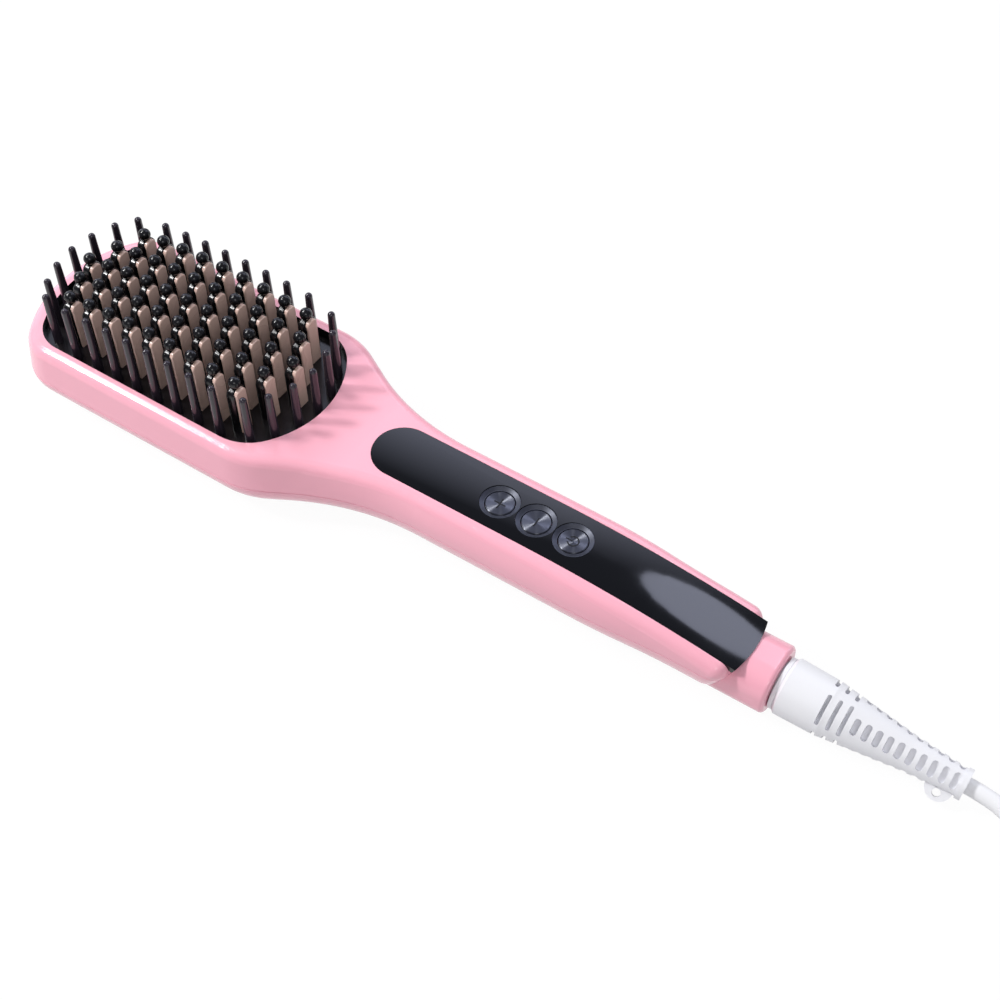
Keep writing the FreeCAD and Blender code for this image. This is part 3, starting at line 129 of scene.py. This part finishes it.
# %% Cord curve
cord_curve = bpy.data.curves.new("mains_cord", "CURVE")
cord_curve.dimensions = "3D"
cord_curve.bevel_depth = 1.0  # each control point's radius scales it to the lead
cord_curve.bevel_resolution = 5
cord_curve.resolution_u = 6
cord_curve.use_fill_caps = True
cord_line = cord_curve.splines.new("NURBS")
cord_line.points.add(len(cord_points) - 1)
for control, point in zip(cord_line.points, cord_points):
    control.co = (*point, 1.0)
    control.radius = CORD_DIAMETER / 2
cord_line.order_u = 3
cord_line.use_endpoint_u = True
mains_cord = bpy.data.objects.new("mains_cord", cord_curve)
bpy.context.scene.collection.objects.link(mains_cord)
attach(mains_cord, "brush")
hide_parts("cord_run", "cord_coil")
print("mains cord: 1.44 m of", CORD_DIAMETER, "m lead")

# %% [markdown]
# Colours and nodes
#
# Colours are written as they look on a screen, and the shader wants linear light, so one small
# function turns a hex value into linear numbers. Another adds a node to a material with its
# settings, values and links in one line, which keeps every finish below readable.

# %% Colour and node helpers
def linear(hex_colour):
    channels = [int(hex_colour[i:i + 2], 16) / 255 for i in (1, 3, 5)]
    return [c / 12.92 if c <= 0.04045 else ((c + 0.055) / 1.055) ** 2.4 for c in channels] + [1.0]


def add(tree, kind, inputs=None, **settings):
    node = tree.nodes.new(kind)
    for name, value in settings.items():
        setattr(node, name, value)
    for socket, value in (inputs or {}).items():
        if isinstance(value, bpy.types.NodeSocket):
            tree.links.new(value, node.inputs[socket])
        else:
            node.inputs[socket].default_value = value
    return node


def new_finish(name):
    finish = bpy.data.materials.new(name)
    finish.use_nodes = True
    finish.node_tree.nodes.clear()
    return finish, finish.node_tree


def give(finish, *names):
    for name in names:
        nodes[name].data.materials.clear()
        nodes[name].data.materials.append(finish)
    print(finish.name, "on", ", ".join(names))


print("#808080 in linear light:", round(linear("#808080")[0], 3))

# %% [markdown]
# How a moulded surface is drawn
#
# Most of the brush is moulded plastic, and all mouldings share three things: a colour that drifts a
# little where the plastic flowed and cooled, a gloss that drifts with handling, and a skin that
# copies the mould, with long faint waves and fine pits. One recipe holds the three, and each
# plastic below gives it its own numbers. Noise takes a scale in repeats per metre, because the
# frame is in metres, so a helper turns a spacing in millimetres into that scale.

# %% Moulded recipe
FLOW_SPACING = 25.0  # mm
WAVE_DEPTH = 0.2 * MM
PIT_DEPTH = 0.05 * MM
NOISE_LOW, NOISE_HIGH = 0.3, 0.7  # where most of a noise's values lie


def repeats(spacing_mm):
    return 1.0 / (spacing_mm * MM)


def moulded(name, colour, drift_colour, gloss, ior, waves, pits):
    finish, tree = new_finish(name)
    place = add(tree, "ShaderNodeTexCoord").outputs["Object"]
    flow = add(tree, "ShaderNodeTexNoise", {
        "Vector": place, "Scale": repeats(FLOW_SPACING), "Detail": 2.0})
    tint = add(tree, "ShaderNodeMix", {"Factor": flow.outputs["Fac"]}, data_type="RGBA")
    tint.inputs["A"].default_value = linear(colour)
    tint.inputs["B"].default_value = linear(drift_colour)
    roughness, drift = gloss
    handled = add(tree, "ShaderNodeMapRange", {
        "Value": flow.outputs["Fac"], "From Min": NOISE_LOW, "From Max": NOISE_HIGH,
        "To Min": roughness - drift, "To Max": roughness + drift})
    normal = None
    for spacing, strength, depth in (waves + (WAVE_DEPTH,), pits + (PIT_DEPTH,)):
        noise = add(tree, "ShaderNodeTexNoise", {
            "Vector": place, "Scale": repeats(spacing), "Detail": 2.0})
        bump = add(tree, "ShaderNodeBump", {
            "Height": noise.outputs["Fac"], "Strength": strength, "Distance": depth})
        if normal:
            tree.links.new(normal, bump.inputs["Normal"])
        normal = bump.outputs["Normal"]
    skin = add(tree, "ShaderNodeBsdfPrincipled", {
        "Base Color": tint.outputs["Result"], "Roughness": handled.outputs["Result"],
        "IOR": ior, "Normal": normal})
    add(tree, "ShaderNodeOutputMaterial", {"Surface": skin.outputs["BSDF"]})
    return finish


print("waves every 9 mm need a noise scale of", round(repeats(9.0), 1))

# %% [markdown]
# The pink shells
#
# Both shells and the collar at the cord end are injection moulded ABS from a polished mould. That
# gives the eye a clear pink with a soft gloss: bright lines along the rounded rim, and a paler,
# greyer pink low on the sides, where the white table is mirrored at a flat angle. The gloss does
# all of that by itself, so the colour stays one pink with hardly any drift. The top shell gets its
# own copy of this finish in the next step.

# %% Pink shells
pink_abs = moulded(
    "polished_pink_abs", "#FAB4C5", "#F8AFC1",
    gloss=(0.18, 0.03), ior=1.54, waves=(9.0, 0.04), pits=(0.6, 0.02))
give(pink_abs, "back_shell", "end_collar")

# %% [markdown]
# The black wall of the opening
#
# Around the bed no pink shows: the wall of the head's opening is black down to the bed. A strip of
# black could be laid against it, but the wall itself is easy to tell apart. It is the only part of
# the head that faces the head's own middle, so a copy of the pink turns black wherever a surface
# forward of the neck faces inward.

# %% Opening wall
HEAD_END = 57.0 * MM
INWARD_LIMIT = 0.5  # cosine between a face and the way to the middle

top_abs = pink_abs.copy()
top_abs.name = "polished_pink_abs_black_opening"
tree = top_abs.node_tree
skin = tree.nodes["Principled BSDF"]
pink = skin.inputs["Base Color"].links[0].from_socket
place = add(tree, "ShaderNodeTexCoord")
inward = add(tree, "ShaderNodeVectorMath", {
    0: place.outputs["Object"], 1: (-1.0, -1.0, 0.0)}, operation="MULTIPLY")
inward = add(tree, "ShaderNodeVectorMath", {0: inward.outputs["Vector"]}, operation="NORMALIZE")
facing = add(tree, "ShaderNodeVectorMath", {
    0: inward.outputs["Vector"], 1: place.outputs["Normal"]}, operation="DOT_PRODUCT")
wall_face = add(tree, "ShaderNodeMath", {
    0: facing.outputs["Value"], 1: INWARD_LIMIT}, operation="GREATER_THAN")
along = add(tree, "ShaderNodeSeparateXYZ", {"Vector": place.outputs["Object"]})
head = add(tree, "ShaderNodeMath", {0: along.outputs["X"], 1: HEAD_END}, operation="LESS_THAN")
black = add(tree, "ShaderNodeMath", {
    0: wall_face.outputs[0], 1: head.outputs[0]}, operation="MULTIPLY")
tint = add(tree, "ShaderNodeMix", {"Factor": black.outputs[0]}, data_type="RGBA")
tint.inputs["B"].default_value = linear("#121014")
tree.links.new(pink, tint.inputs["A"])
tree.links.new(tint.outputs["Result"], skin.inputs["Base Color"])
give(top_abs, "top_shell")

# %% [markdown]
# The black bed, guards and pins
#
# They are nylon, which stands the heat of the blades. All three leave a smooth mould: the bed stays
# dark between the rows and mirrors the feet of the pins a little, and each ball tip holds one small
# sharp light. A slightly warm black keeps them from looking like the panel.

# %% Bed, guards and pins
bed_nylon = moulded(
    "moulded_black_bed_nylon", "#120F12", "#181518",
    gloss=(0.22, 0.04), ior=1.50, waves=(6.0, 0.06), pits=(0.8, 0.10))
give(bed_nylon, "bristle_bed")
tooth_nylon = moulded(
    "moulded_black_tooth_nylon", "#0A090B", "#100F12",
    gloss=(0.24, 0.04), ior=1.50, waves=(3.0, 0.05), pits=(0.5, 0.05))
give(tooth_nylon, "tooth_guards")
pin_nylon = moulded(
    "moulded_black_pin_nylon", "#29232C", "#312A33",
    gloss=(0.18, 0.04), ior=1.55, waves=(3.0, 0.05), pits=(0.5, 0.05))
give(pin_nylon, "edge_pins")

# %% [markdown]
# The tan blades
#
# Each tooth has a metal fin that carries the heat, with a ceramic coat baked on so that hair slides.
# The coat is a thin, slightly grainy enamel: satin, with a soft light along each rounded edge. It
# could be a metal under a clear coat, but the colour comes from the coat alone, so it is drawn as
# an enamel with its own fine grain.

# %% Blades
blade_coat = moulded(
    "baked_tan_ceramic_coat", "#E8C4B7", "#EECCBF",
    gloss=(0.30, 0.05), ior=1.60, waves=(4.0, 0.05), pits=(0.5, 0.08))
give(blade_coat, "heating_blades")

# %% [markdown]
# The control panel
#
# A strip of piano black acrylic runs from the neck to the end of the handle, crowned a little across.
# It is nearly a mirror, so it shows the room: pale towards the far edge, where the crown looks at
# the wall behind, and black along the near edge, where it looks up. It takes the recipe with almost no
# roughness, and waves so long and low that they only bend the reflections a little.

# %% Panel
panel_acrylic = moulded(
    "piano_black_acrylic", "#06070A", "#08090C",
    gloss=(0.07, 0.015), ior=1.49, waves=(20.0, 0.01), pits=(0.6, 0.0))
give(panel_acrylic, "control_panel")

# %% [markdown]
# Spun metal buttons
#
# The buttons and the rings around them are turned on a lathe, and the tool leaves circles around
# each centre. Such grooves spread light across themselves, so a spun disc shows two bright wedges
# that meet in the middle. A picture of wedges would be wrong from any other side. Instead the shader
# gets the direction across the tool marks at each point, straight out from the centre, and stretches
# its reflections that way. The three centres are one pitch apart, so a modulo folds them onto one
# centre. Real tool marks are about 0.05 mm apart; they are drawn three times coarser here, so that
# they survive at picture size.

# %% Spun metal recipe
BUTTON_PITCH = 12.9 * MM
FIRST_BUTTON = 118.4 * MM
TOOL_MARK_SPACING = 0.15 * MM
TOOL_MARK_DEPTH = 0.01 * MM
TOOL_MARK_STRENGTH = 0.06
TOOL_MARK_WANDER = 0.6
SPUN_DRIFT = 0.04  # roughness
SPUN_STAIN = 3.0  # mm
WAVES_PER_TURN = 20.0  # the wave texture's own factor


def spun(name, colour, drift_colour, roughness, stretch):
    finish, tree = new_finish(name)
    place = add(tree, "ShaderNodeTexCoord").outputs["Object"]
    axes = add(tree, "ShaderNodeSeparateXYZ", {"Vector": place})
    shifted = add(tree, "ShaderNodeMath", {
        0: axes.outputs["X"], 1: BUTTON_PITCH / 2 - FIRST_BUTTON}, operation="ADD")
    folded = add(tree, "ShaderNodeMath", {
        0: shifted.outputs[0], 1: BUTTON_PITCH}, operation="FLOORED_MODULO")
    along = add(tree, "ShaderNodeMath", {
        0: folded.outputs[0], 1: BUTTON_PITCH / 2}, operation="SUBTRACT")
    outward = add(tree, "ShaderNodeCombineXYZ", {"X": along.outputs[0], "Y": axes.outputs["Y"]})
    marks = add(tree, "ShaderNodeTexWave", {
        "Vector": outward.outputs[0], "Scale": math.tau / (WAVES_PER_TURN * TOOL_MARK_SPACING),
        "Distortion": TOOL_MARK_WANDER}, wave_type="RINGS", rings_direction="Z")
    stain = add(tree, "ShaderNodeTexNoise", {
        "Vector": place, "Scale": repeats(SPUN_STAIN), "Detail": 3.0})
    tint = add(tree, "ShaderNodeMix", {"Factor": stain.outputs["Fac"]}, data_type="RGBA")
    tint.inputs["A"].default_value = linear(colour)
    tint.inputs["B"].default_value = linear(drift_colour)
    worn = add(tree, "ShaderNodeMapRange", {
        "Value": marks.outputs["Fac"],
        "To Min": roughness - SPUN_DRIFT, "To Max": roughness + SPUN_DRIFT})
    cut = add(tree, "ShaderNodeBump", {
        "Height": marks.outputs["Fac"], "Strength": TOOL_MARK_STRENGTH, "Distance": TOOL_MARK_DEPTH})
    skin = add(tree, "ShaderNodeBsdfPrincipled", {
        "Base Color": tint.outputs["Result"], "Metallic": 1.0, "Roughness": worn.outputs["Result"],
        "Anisotropic": stretch, "Tangent": outward.outputs[0], "Normal": cut.outputs["Normal"]})
    add(tree, "ShaderNodeOutputMaterial", {"Surface": skin.outputs["BSDF"]})
    return finish


button_steel = spun("spun_dark_button_steel", "#70727A", "#686A71", 0.42, 1.0)
give(button_steel, "button_plus", "button_minus", "button_power")
ring_steel = spun("spun_grey_ring_steel", "#5E6068", "#565860", 0.50, 0.3)
give(ring_steel, "button_rings")

# %% [markdown]
# Marks on the buttons
#
# Plus, minus and power are engraved lines filled with black paint, about 4 mm across. They could be
# part of the shader, but real strips that lie in the dish stay sharp at any size, and ride with
# the button when it is pressed. A stroke is a ribbon along a short path: each path point gives two
# vertices, and the dish, a shallow cone, gives their height.

# %% Stroke builder
BUTTON_CENTRES = [FIRST_BUTTON + BUTTON_PITCH * i for i in range(3)]
DISH_FLOOR = 24.7 * MM
DISH_DEPTH = 0.3 * MM
DISH_RADIUS = 4.25 * MM
PAINT_RISE = 0.03 * MM
PAINT_THICKNESS = 0.05 * MM
STROKE_WIDTH = 0.42 * MM


def stroke(path):
    """Left and right vertices along a path, in metres from the button's centre."""
    points = [Vector(point) * MM for point in path]
    sides = []
    for i, point in enumerate(points):
        ahead = points[min(i + 1, len(points) - 1)] - points[max(i - 1, 0)]
        across = Vector((-ahead.y, ahead.x)).normalized() * (STROKE_WIDTH / 2)
        sides.append((point + across, point - across))
    return sides


def button_mark(name, centre_x, paths, body):
    mesh = bpy.data.meshes.new(name)
    vertices = []
    faces = []
    for path in paths:
        for left, right in stroke(path):
            for spot in (left, right):
                height = DISH_FLOOR + DISH_DEPTH / DISH_RADIUS * spot.length + PAINT_RISE
                vertices.append((centre_x + spot.x, spot.y, height))
        first = len(vertices) - 2 * len(path)
        faces += [(i, i + 1, i + 3, i + 2) for i in range(first, len(vertices) - 2, 2)]
    mesh.from_pydata(vertices, [], faces)
    mark = bpy.data.objects.new(name, mesh)
    bpy.context.scene.collection.objects.link(mark)
    film = mark.modifiers.new("paint_film", "SOLIDIFY")
    film.thickness = PAINT_THICKNESS
    film.offset = 0.0
    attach(mark, body)
    print(name, "of", len(faces), "faces rides on", body)
    return mark


# %% Plus, minus and power
PLUS_ARM = 2.0  # mm, like the other sizes of the marks
MINUS_ARM = 1.7
POWER_RADIUS = 1.7
POWER_GAP = math.radians(32.0)
POWER_BAR_START, POWER_BAR_END = -2.5, -0.3


def line(start, end, steps=8):
    return [(start[0] + (end[0] - start[0]) * i / steps, start[1] + (end[1] - start[1]) * i / steps)
            for i in range(steps + 1)]


def open_ring(radius, gap, steps=32):
    angles = [gap + (math.tau - 2 * gap) * i / steps for i in range(steps + 1)]
    return [(-radius * math.cos(angle), radius * math.sin(angle)) for angle in angles]


plus_paths = [line((-PLUS_ARM, 0), (PLUS_ARM, 0)), line((0, -PLUS_ARM), (0, PLUS_ARM))]
minus_paths = [line((0, -MINUS_ARM), (0, MINUS_ARM))]
power_paths = [open_ring(POWER_RADIUS, POWER_GAP), line((POWER_BAR_START, 0), (POWER_BAR_END, 0))]
marks = [
    button_mark("plus_mark", BUTTON_CENTRES[0], plus_paths, "plus_button"),
    button_mark("minus_mark", BUTTON_CENTRES[1], minus_paths, "minus_button"),
    button_mark("power_mark", BUTTON_CENTRES[2], power_paths, "power_button"),
]
mark_paint = moulded(
    "black_fill_paint", "#08080A", "#0D0D10",
    gloss=(0.70, 0.05), ior=1.50, waves=(1.5, 0.05), pits=(0.3, 0.2))
for mark in marks:
    mark.data.materials.append(mark_paint)

# %% [markdown]
# The white relief and cord
#
# The strain relief is soft PVC moulded over the cord, and its slots let it bend. Both are white,
# but soft PVC is never a mirror: it has a broad sheen and a slightly cool white. The colour stays
# below full white, so that the slots and the round of the cord still show their shade.

# %% Relief, plug and cord
relief_pvc = moulded(
    "soft_white_relief_pvc", "#EBEBF0", "#EFEFF3",
    gloss=(0.40, 0.05), ior=1.52, waves=(5.0, 0.05), pits=(0.7, 0.10))
give(relief_pvc, "strain_relief", "swivel_core", "plug_body")
cord_pvc = moulded(
    "extruded_white_cord_pvc", "#F0F0F4", "#F4F4F6",
    gloss=(0.38, 0.05), ior=1.52, waves=(8.0, 0.04), pits=(0.7, 0.08))
cord_curve.materials.append(cord_pvc)
print(cord_pvc.name, "on", mains_cord.name)

# %% [markdown]
# What the shells hide
#
# Inside are plastics that nobody sees until the shells come off. They still get the finish of the
# real thing, because the part is also looked at opened up: rubber for the tie, silicone for the
# button pad, epoxy for the parts on the board, woven sleeves on the leads, ceramic and mica around
# the heater.

# %% Hidden plastics and ceramics
tie_rubber = moulded(
    "grey_tie_rubber", "#54555A", "#4C4D52",
    gloss=(0.60, 0.05), ior=1.52, waves=(3.0, 0.10), pits=(0.6, 0.20))
give(tie_rubber, "cord_tie")
pad_silicone = moulded(
    "frosted_pad_silicone", "#C9CBD0", "#BFC2C8",
    gloss=(0.45, 0.05), ior=1.43, waves=(4.0, 0.08), pits=(0.6, 0.10))
give(pad_silicone, "button_pad")
case_epoxy = moulded(
    "moulded_black_epoxy", "#1A1A1C", "#232325",
    gloss=(0.55, 0.06), ior=1.55, waves=(2.0, 0.08), pits=(0.4, 0.25))
give(case_epoxy, "power_capacitor", "heater_triac", "display_module")
lead_sleeve = moulded(
    "woven_glass_lead_sleeve", "#D8D4C4", "#C8C2AF",
    gloss=(0.75, 0.06), ior=1.50, waves=(2.0, 0.10), pits=(0.5, 0.40))
give(lead_sleeve, "heater_leads")
fired_ceramic = moulded(
    "fired_heater_ceramic", "#E6E1D6", "#D8D2C4",
    gloss=(0.55, 0.05), ior=1.65, waves=(3.0, 0.05), pits=(0.4, 0.30))
give(fired_ceramic, "heater_strips", "thermistor")
pressed_mica = moulded(
    "pressed_mica_sheet", "#B59B6C", "#9C8155",
    gloss=(0.35, 0.10), ior=1.58, waves=(2.0, 0.30), pits=(0.6, 0.30))
give(pressed_mica, "mica_sheet")
board_laminate = moulded(
    "green_board_laminate", "#1F5A38", "#1A4E30",
    gloss=(0.35, 0.05), ior=1.55, waves=(3.0, 0.05), pits=(0.4, 0.15))
give(board_laminate, "control_board")

# %% [markdown]
# Hidden metals
#
# The heater's plates are rolled aluminium, the screws are zinc plated, the contacts are brass. A
# metal has no colour under its surface: all it shows is reflection, tinted by the metal. So this
# recipe sets metallic to one, keeps the shader's own IOR, and lets a stain change the tint and the
# roughness together.

# %% Metals
METAL_STAIN = 6.0  # mm
METAL_DRIFT = 0.06  # roughness
GRAIN_DEPTH = 0.05 * MM


def metal(name, colour, stain_colour, roughness, grain_mm, grain):
    finish, tree = new_finish(name)
    place = add(tree, "ShaderNodeTexCoord").outputs["Object"]
    stain = add(tree, "ShaderNodeTexNoise", {
        "Vector": place, "Scale": repeats(METAL_STAIN), "Detail": 3.0})
    tint = add(tree, "ShaderNodeMix", {"Factor": stain.outputs["Fac"]}, data_type="RGBA")
    tint.inputs["A"].default_value = linear(colour)
    tint.inputs["B"].default_value = linear(stain_colour)
    worn = add(tree, "ShaderNodeMapRange", {
        "Value": stain.outputs["Fac"],
        "To Min": roughness - METAL_DRIFT, "To Max": roughness + METAL_DRIFT})
    rolled = add(tree, "ShaderNodeTexNoise", {
        "Vector": place, "Scale": repeats(grain_mm), "Detail": 2.0})
    grained = add(tree, "ShaderNodeBump", {
        "Height": rolled.outputs["Fac"], "Strength": grain, "Distance": GRAIN_DEPTH})
    skin = add(tree, "ShaderNodeBsdfPrincipled", {
        "Base Color": tint.outputs["Result"], "Metallic": 1.0,
        "Roughness": worn.outputs["Result"], "Normal": grained.outputs["Normal"]})
    add(tree, "ShaderNodeOutputMaterial", {"Surface": skin.outputs["BSDF"]})
    return finish


rolled_aluminium = metal("rolled_aluminium", "#C9CBCD", "#B9BBBE", 0.38, 0.8, 0.15)
give(rolled_aluminium, "heater_plate", "clamp_plate", "heat_shield")
plated_steel = metal("zinc_plated_steel", "#C3C4C2", "#AEB0AF", 0.30, 0.5, 0.10)
give(plated_steel, "bed_screws", "clamp_screws", "board_screws", "shell_screws", "thermal_fuse")
turned_brass = metal("turned_brass", "#CDA85A", "#BC964A", 0.28, 0.4, 0.08)
give(turned_brass, "slip_rings", "contact_fingers", "plug_pins")

# %% [markdown]
# The floor
#
# The picture stands on pure white with hardly a shadow. More light would bleach the pink, so the
# white is in the floor instead: what the camera and the reflections see of it is mostly a plain
# white glow, mixed with a matt pale grey that keeps the shadow. For the light that bounces between
# surfaces it is only the matt grey.

# %% Floor
WHITE_SHARE = 0.90
WHITE_GLOW = 1.06
FLOOR_HALF = 3.0
FLOOR_DROP = 0.2 * MM

floor_paint, tree = new_finish("matt_pale_table_paint")
ray = add(tree, "ShaderNodeLightPath")
seen = add(tree, "ShaderNodeMath", {
    0: ray.outputs["Is Camera Ray"], 1: ray.outputs["Is Glossy Ray"]}, operation="MAXIMUM")
seen = add(tree, "ShaderNodeMath", {
    0: seen.outputs[0], 1: ray.outputs["Is Transmission Ray"]}, operation="MAXIMUM")
share = add(tree, "ShaderNodeMath", {0: seen.outputs[0], 1: WHITE_SHARE}, operation="MULTIPLY")
matt = add(tree, "ShaderNodeBsdfDiffuse", {"Color": linear("#C4C4C6")})
white = add(tree, "ShaderNodeEmission", {"Color": (1, 1, 1, 1), "Strength": WHITE_GLOW})
both = add(tree, "ShaderNodeMixShader", {
    0: share.outputs[0], 1: matt.outputs[0], 2: white.outputs[0]})
add(tree, "ShaderNodeOutputMaterial", {"Surface": both.outputs[0]})

floor_mesh = bpy.data.meshes.new("floor")
corners = [(-1, -1), (1, -1), (1, 1), (-1, 1)]
floor_corners = [(x * FLOOR_HALF, y * FLOOR_HALF, -FLOOR_DROP) for x, y in corners]
floor_mesh.from_pydata(floor_corners, [], [(0, 1, 2, 3)])
floor = bpy.data.objects.new("floor", floor_mesh)
bpy.context.scene.collection.objects.link(floor)
floor_mesh.materials.append(floor_paint)
print("floor", 2 * FLOOR_HALF, "m wide, white share", WHITE_SHARE)

# %% [markdown]
# The room
#
# The world is three things at once. For plain light it is a pale sky, strongest above and behind.
# For the camera it is white. For reflections it is a dark studio with one cool white band on the
# wall behind the brush, because a gloss black panel under a white ceiling would turn grey. The band
# fades in slowly from above, where the crowned panel looks, so the panel is pale along its far side
# and black along its near side. Below the band the wall is dark again.

# %% Room
NEAR_LIGHT = 0.18
FAR_LIGHT = 0.66
SKY_FACING = (0.0, 0.6, 0.8)
SKY_LOW, SKY_HIGH = -0.6, 1.0  # cosines at which the near and the far light are reached
WALL_LIGHT = 2.9
WALL_FACING = (-0.43, 0.90, 0.0)
# how straight a direction goes to the wall, and the share of the wall's light there
WALL_SHADES = ((0.0, 0.09), (0.54, 0.09), (0.75, 1.0), (0.78, 1.0), (0.84, 0.12))
COOL_WHITE = "#DCE1FA"

world = bpy.data.worlds.new("white_studio")
bpy.context.scene.world = world
world.use_nodes = True
tree = world.node_tree
tree.nodes.clear()
ray = add(tree, "ShaderNodeLightPath")
direction = add(tree, "ShaderNodeTexCoord").outputs["Generated"]
towards_sky = add(tree, "ShaderNodeVectorMath", {
    0: direction, 1: SKY_FACING}, operation="DOT_PRODUCT")
sky = add(tree, "ShaderNodeMapRange", {
    "Value": towards_sky.outputs["Value"], "From Min": SKY_LOW, "From Max": SKY_HIGH,
    "To Min": NEAR_LIGHT, "To Max": FAR_LIGHT})
towards_wall = add(tree, "ShaderNodeVectorMath", {
    0: direction, 1: WALL_FACING}, operation="DOT_PRODUCT")
wall = add(tree, "ShaderNodeValToRGB", {"Fac": towards_wall.outputs["Value"]})
steps = wall.color_ramp.elements
steps.remove(steps[1])
for lean, shade in WALL_SHADES:
    step = steps[0] if lean == 0.0 else steps.new(lean)
    step.color = [shade * c for c in linear(COOL_WHITE)[:3]] + [1.0]
plain = add(tree, "ShaderNodeBackground", {
    "Color": (1, 1, 1, 1), "Strength": sky.outputs["Result"]})
backdrop = add(tree, "ShaderNodeBackground", {"Color": (1, 1, 1, 1), "Strength": 1.0})
studio = add(tree, "ShaderNodeBackground", {
    "Color": wall.outputs["Color"], "Strength": WALL_LIGHT})
shiny = add(tree, "ShaderNodeMath", {
    0: ray.outputs["Is Glossy Ray"], 1: ray.outputs["Is Transmission Ray"]}, operation="MAXIMUM")
lit = add(tree, "ShaderNodeMixShader", {
    0: shiny.outputs[0], 1: plain.outputs[0], 2: studio.outputs[0]})
shown = add(tree, "ShaderNodeMixShader", {
    0: ray.outputs["Is Camera Ray"], 1: lit.outputs[0], 2: backdrop.outputs[0]})
add(tree, "ShaderNodeOutputWorld", {"Surface": shown.outputs[0]})
print("sky from", NEAR_LIGHT, "in front to", FAR_LIGHT, "above and behind")

# %% [markdown]
# The lamps
#
# Four softboxes, each for one thing that the eye looks for. One at the upper left, beyond the head,
# draws the white line along the near rim. A small, strong one on the left gives the spun buttons
# their bright wedges and each ball a sharp point of light. One at the right front lights the fronts
# of the blades and the near sides. The last is round and cool, and stands behind, where only the
# falling end of the panel mirrors it. Each is set by its brightness, so that changing its size
# doesn't change how bright its reflection is.

# %% Lamps
def softbox(name, place, target, width, depth, radiance, shape="RECTANGLE", tint="#FFFFFF"):
    lamp = bpy.data.lights.new(name, "AREA")
    lamp.shape = shape
    lamp.color = linear(tint)[:3]
    lamp.size = width
    lamp.size_y = depth
    lamp.energy = radiance * math.pi * width * depth
    light = bpy.data.objects.new(name, lamp)
    bpy.context.scene.collection.objects.link(light)
    light.location = place
    away = Vector(place) - Vector(target)
    light.rotation_euler = away.to_track_quat("Z", "Y").to_euler()
    print(name, "at", place, "with", round(lamp.energy, 2), "W")


softbox("rim_softbox", (-0.66, -0.10, 0.99), (0.0, -0.03, 0.02), 0.50, 0.24, 14.0)
softbox("button_softbox", (-0.68, -0.45, 0.86), (0.13, 0.0, 0.02), 0.13, 0.13, 125.0)
softbox("front_softbox", (0.75, -0.85, 0.85), (0.08, 0.0, 0.02), 0.45, 0.45, 4.0)
softbox("panel_softbox", (0.233, 0.648, 1.03), (0.185, 0.0, 0.022), 0.41, 0.26, 4.2,
        "ELLIPSE", COOL_WHITE)

# %% [markdown]
# Colours as written, and the finish
#
# The Standard view shows a colour as it was written, with no film look over it. The last cell sets
# that view and updates the scene.

# %% Finish
bpy.context.scene.view_settings.view_transform = "Standard"
bpy.context.view_layer.update()
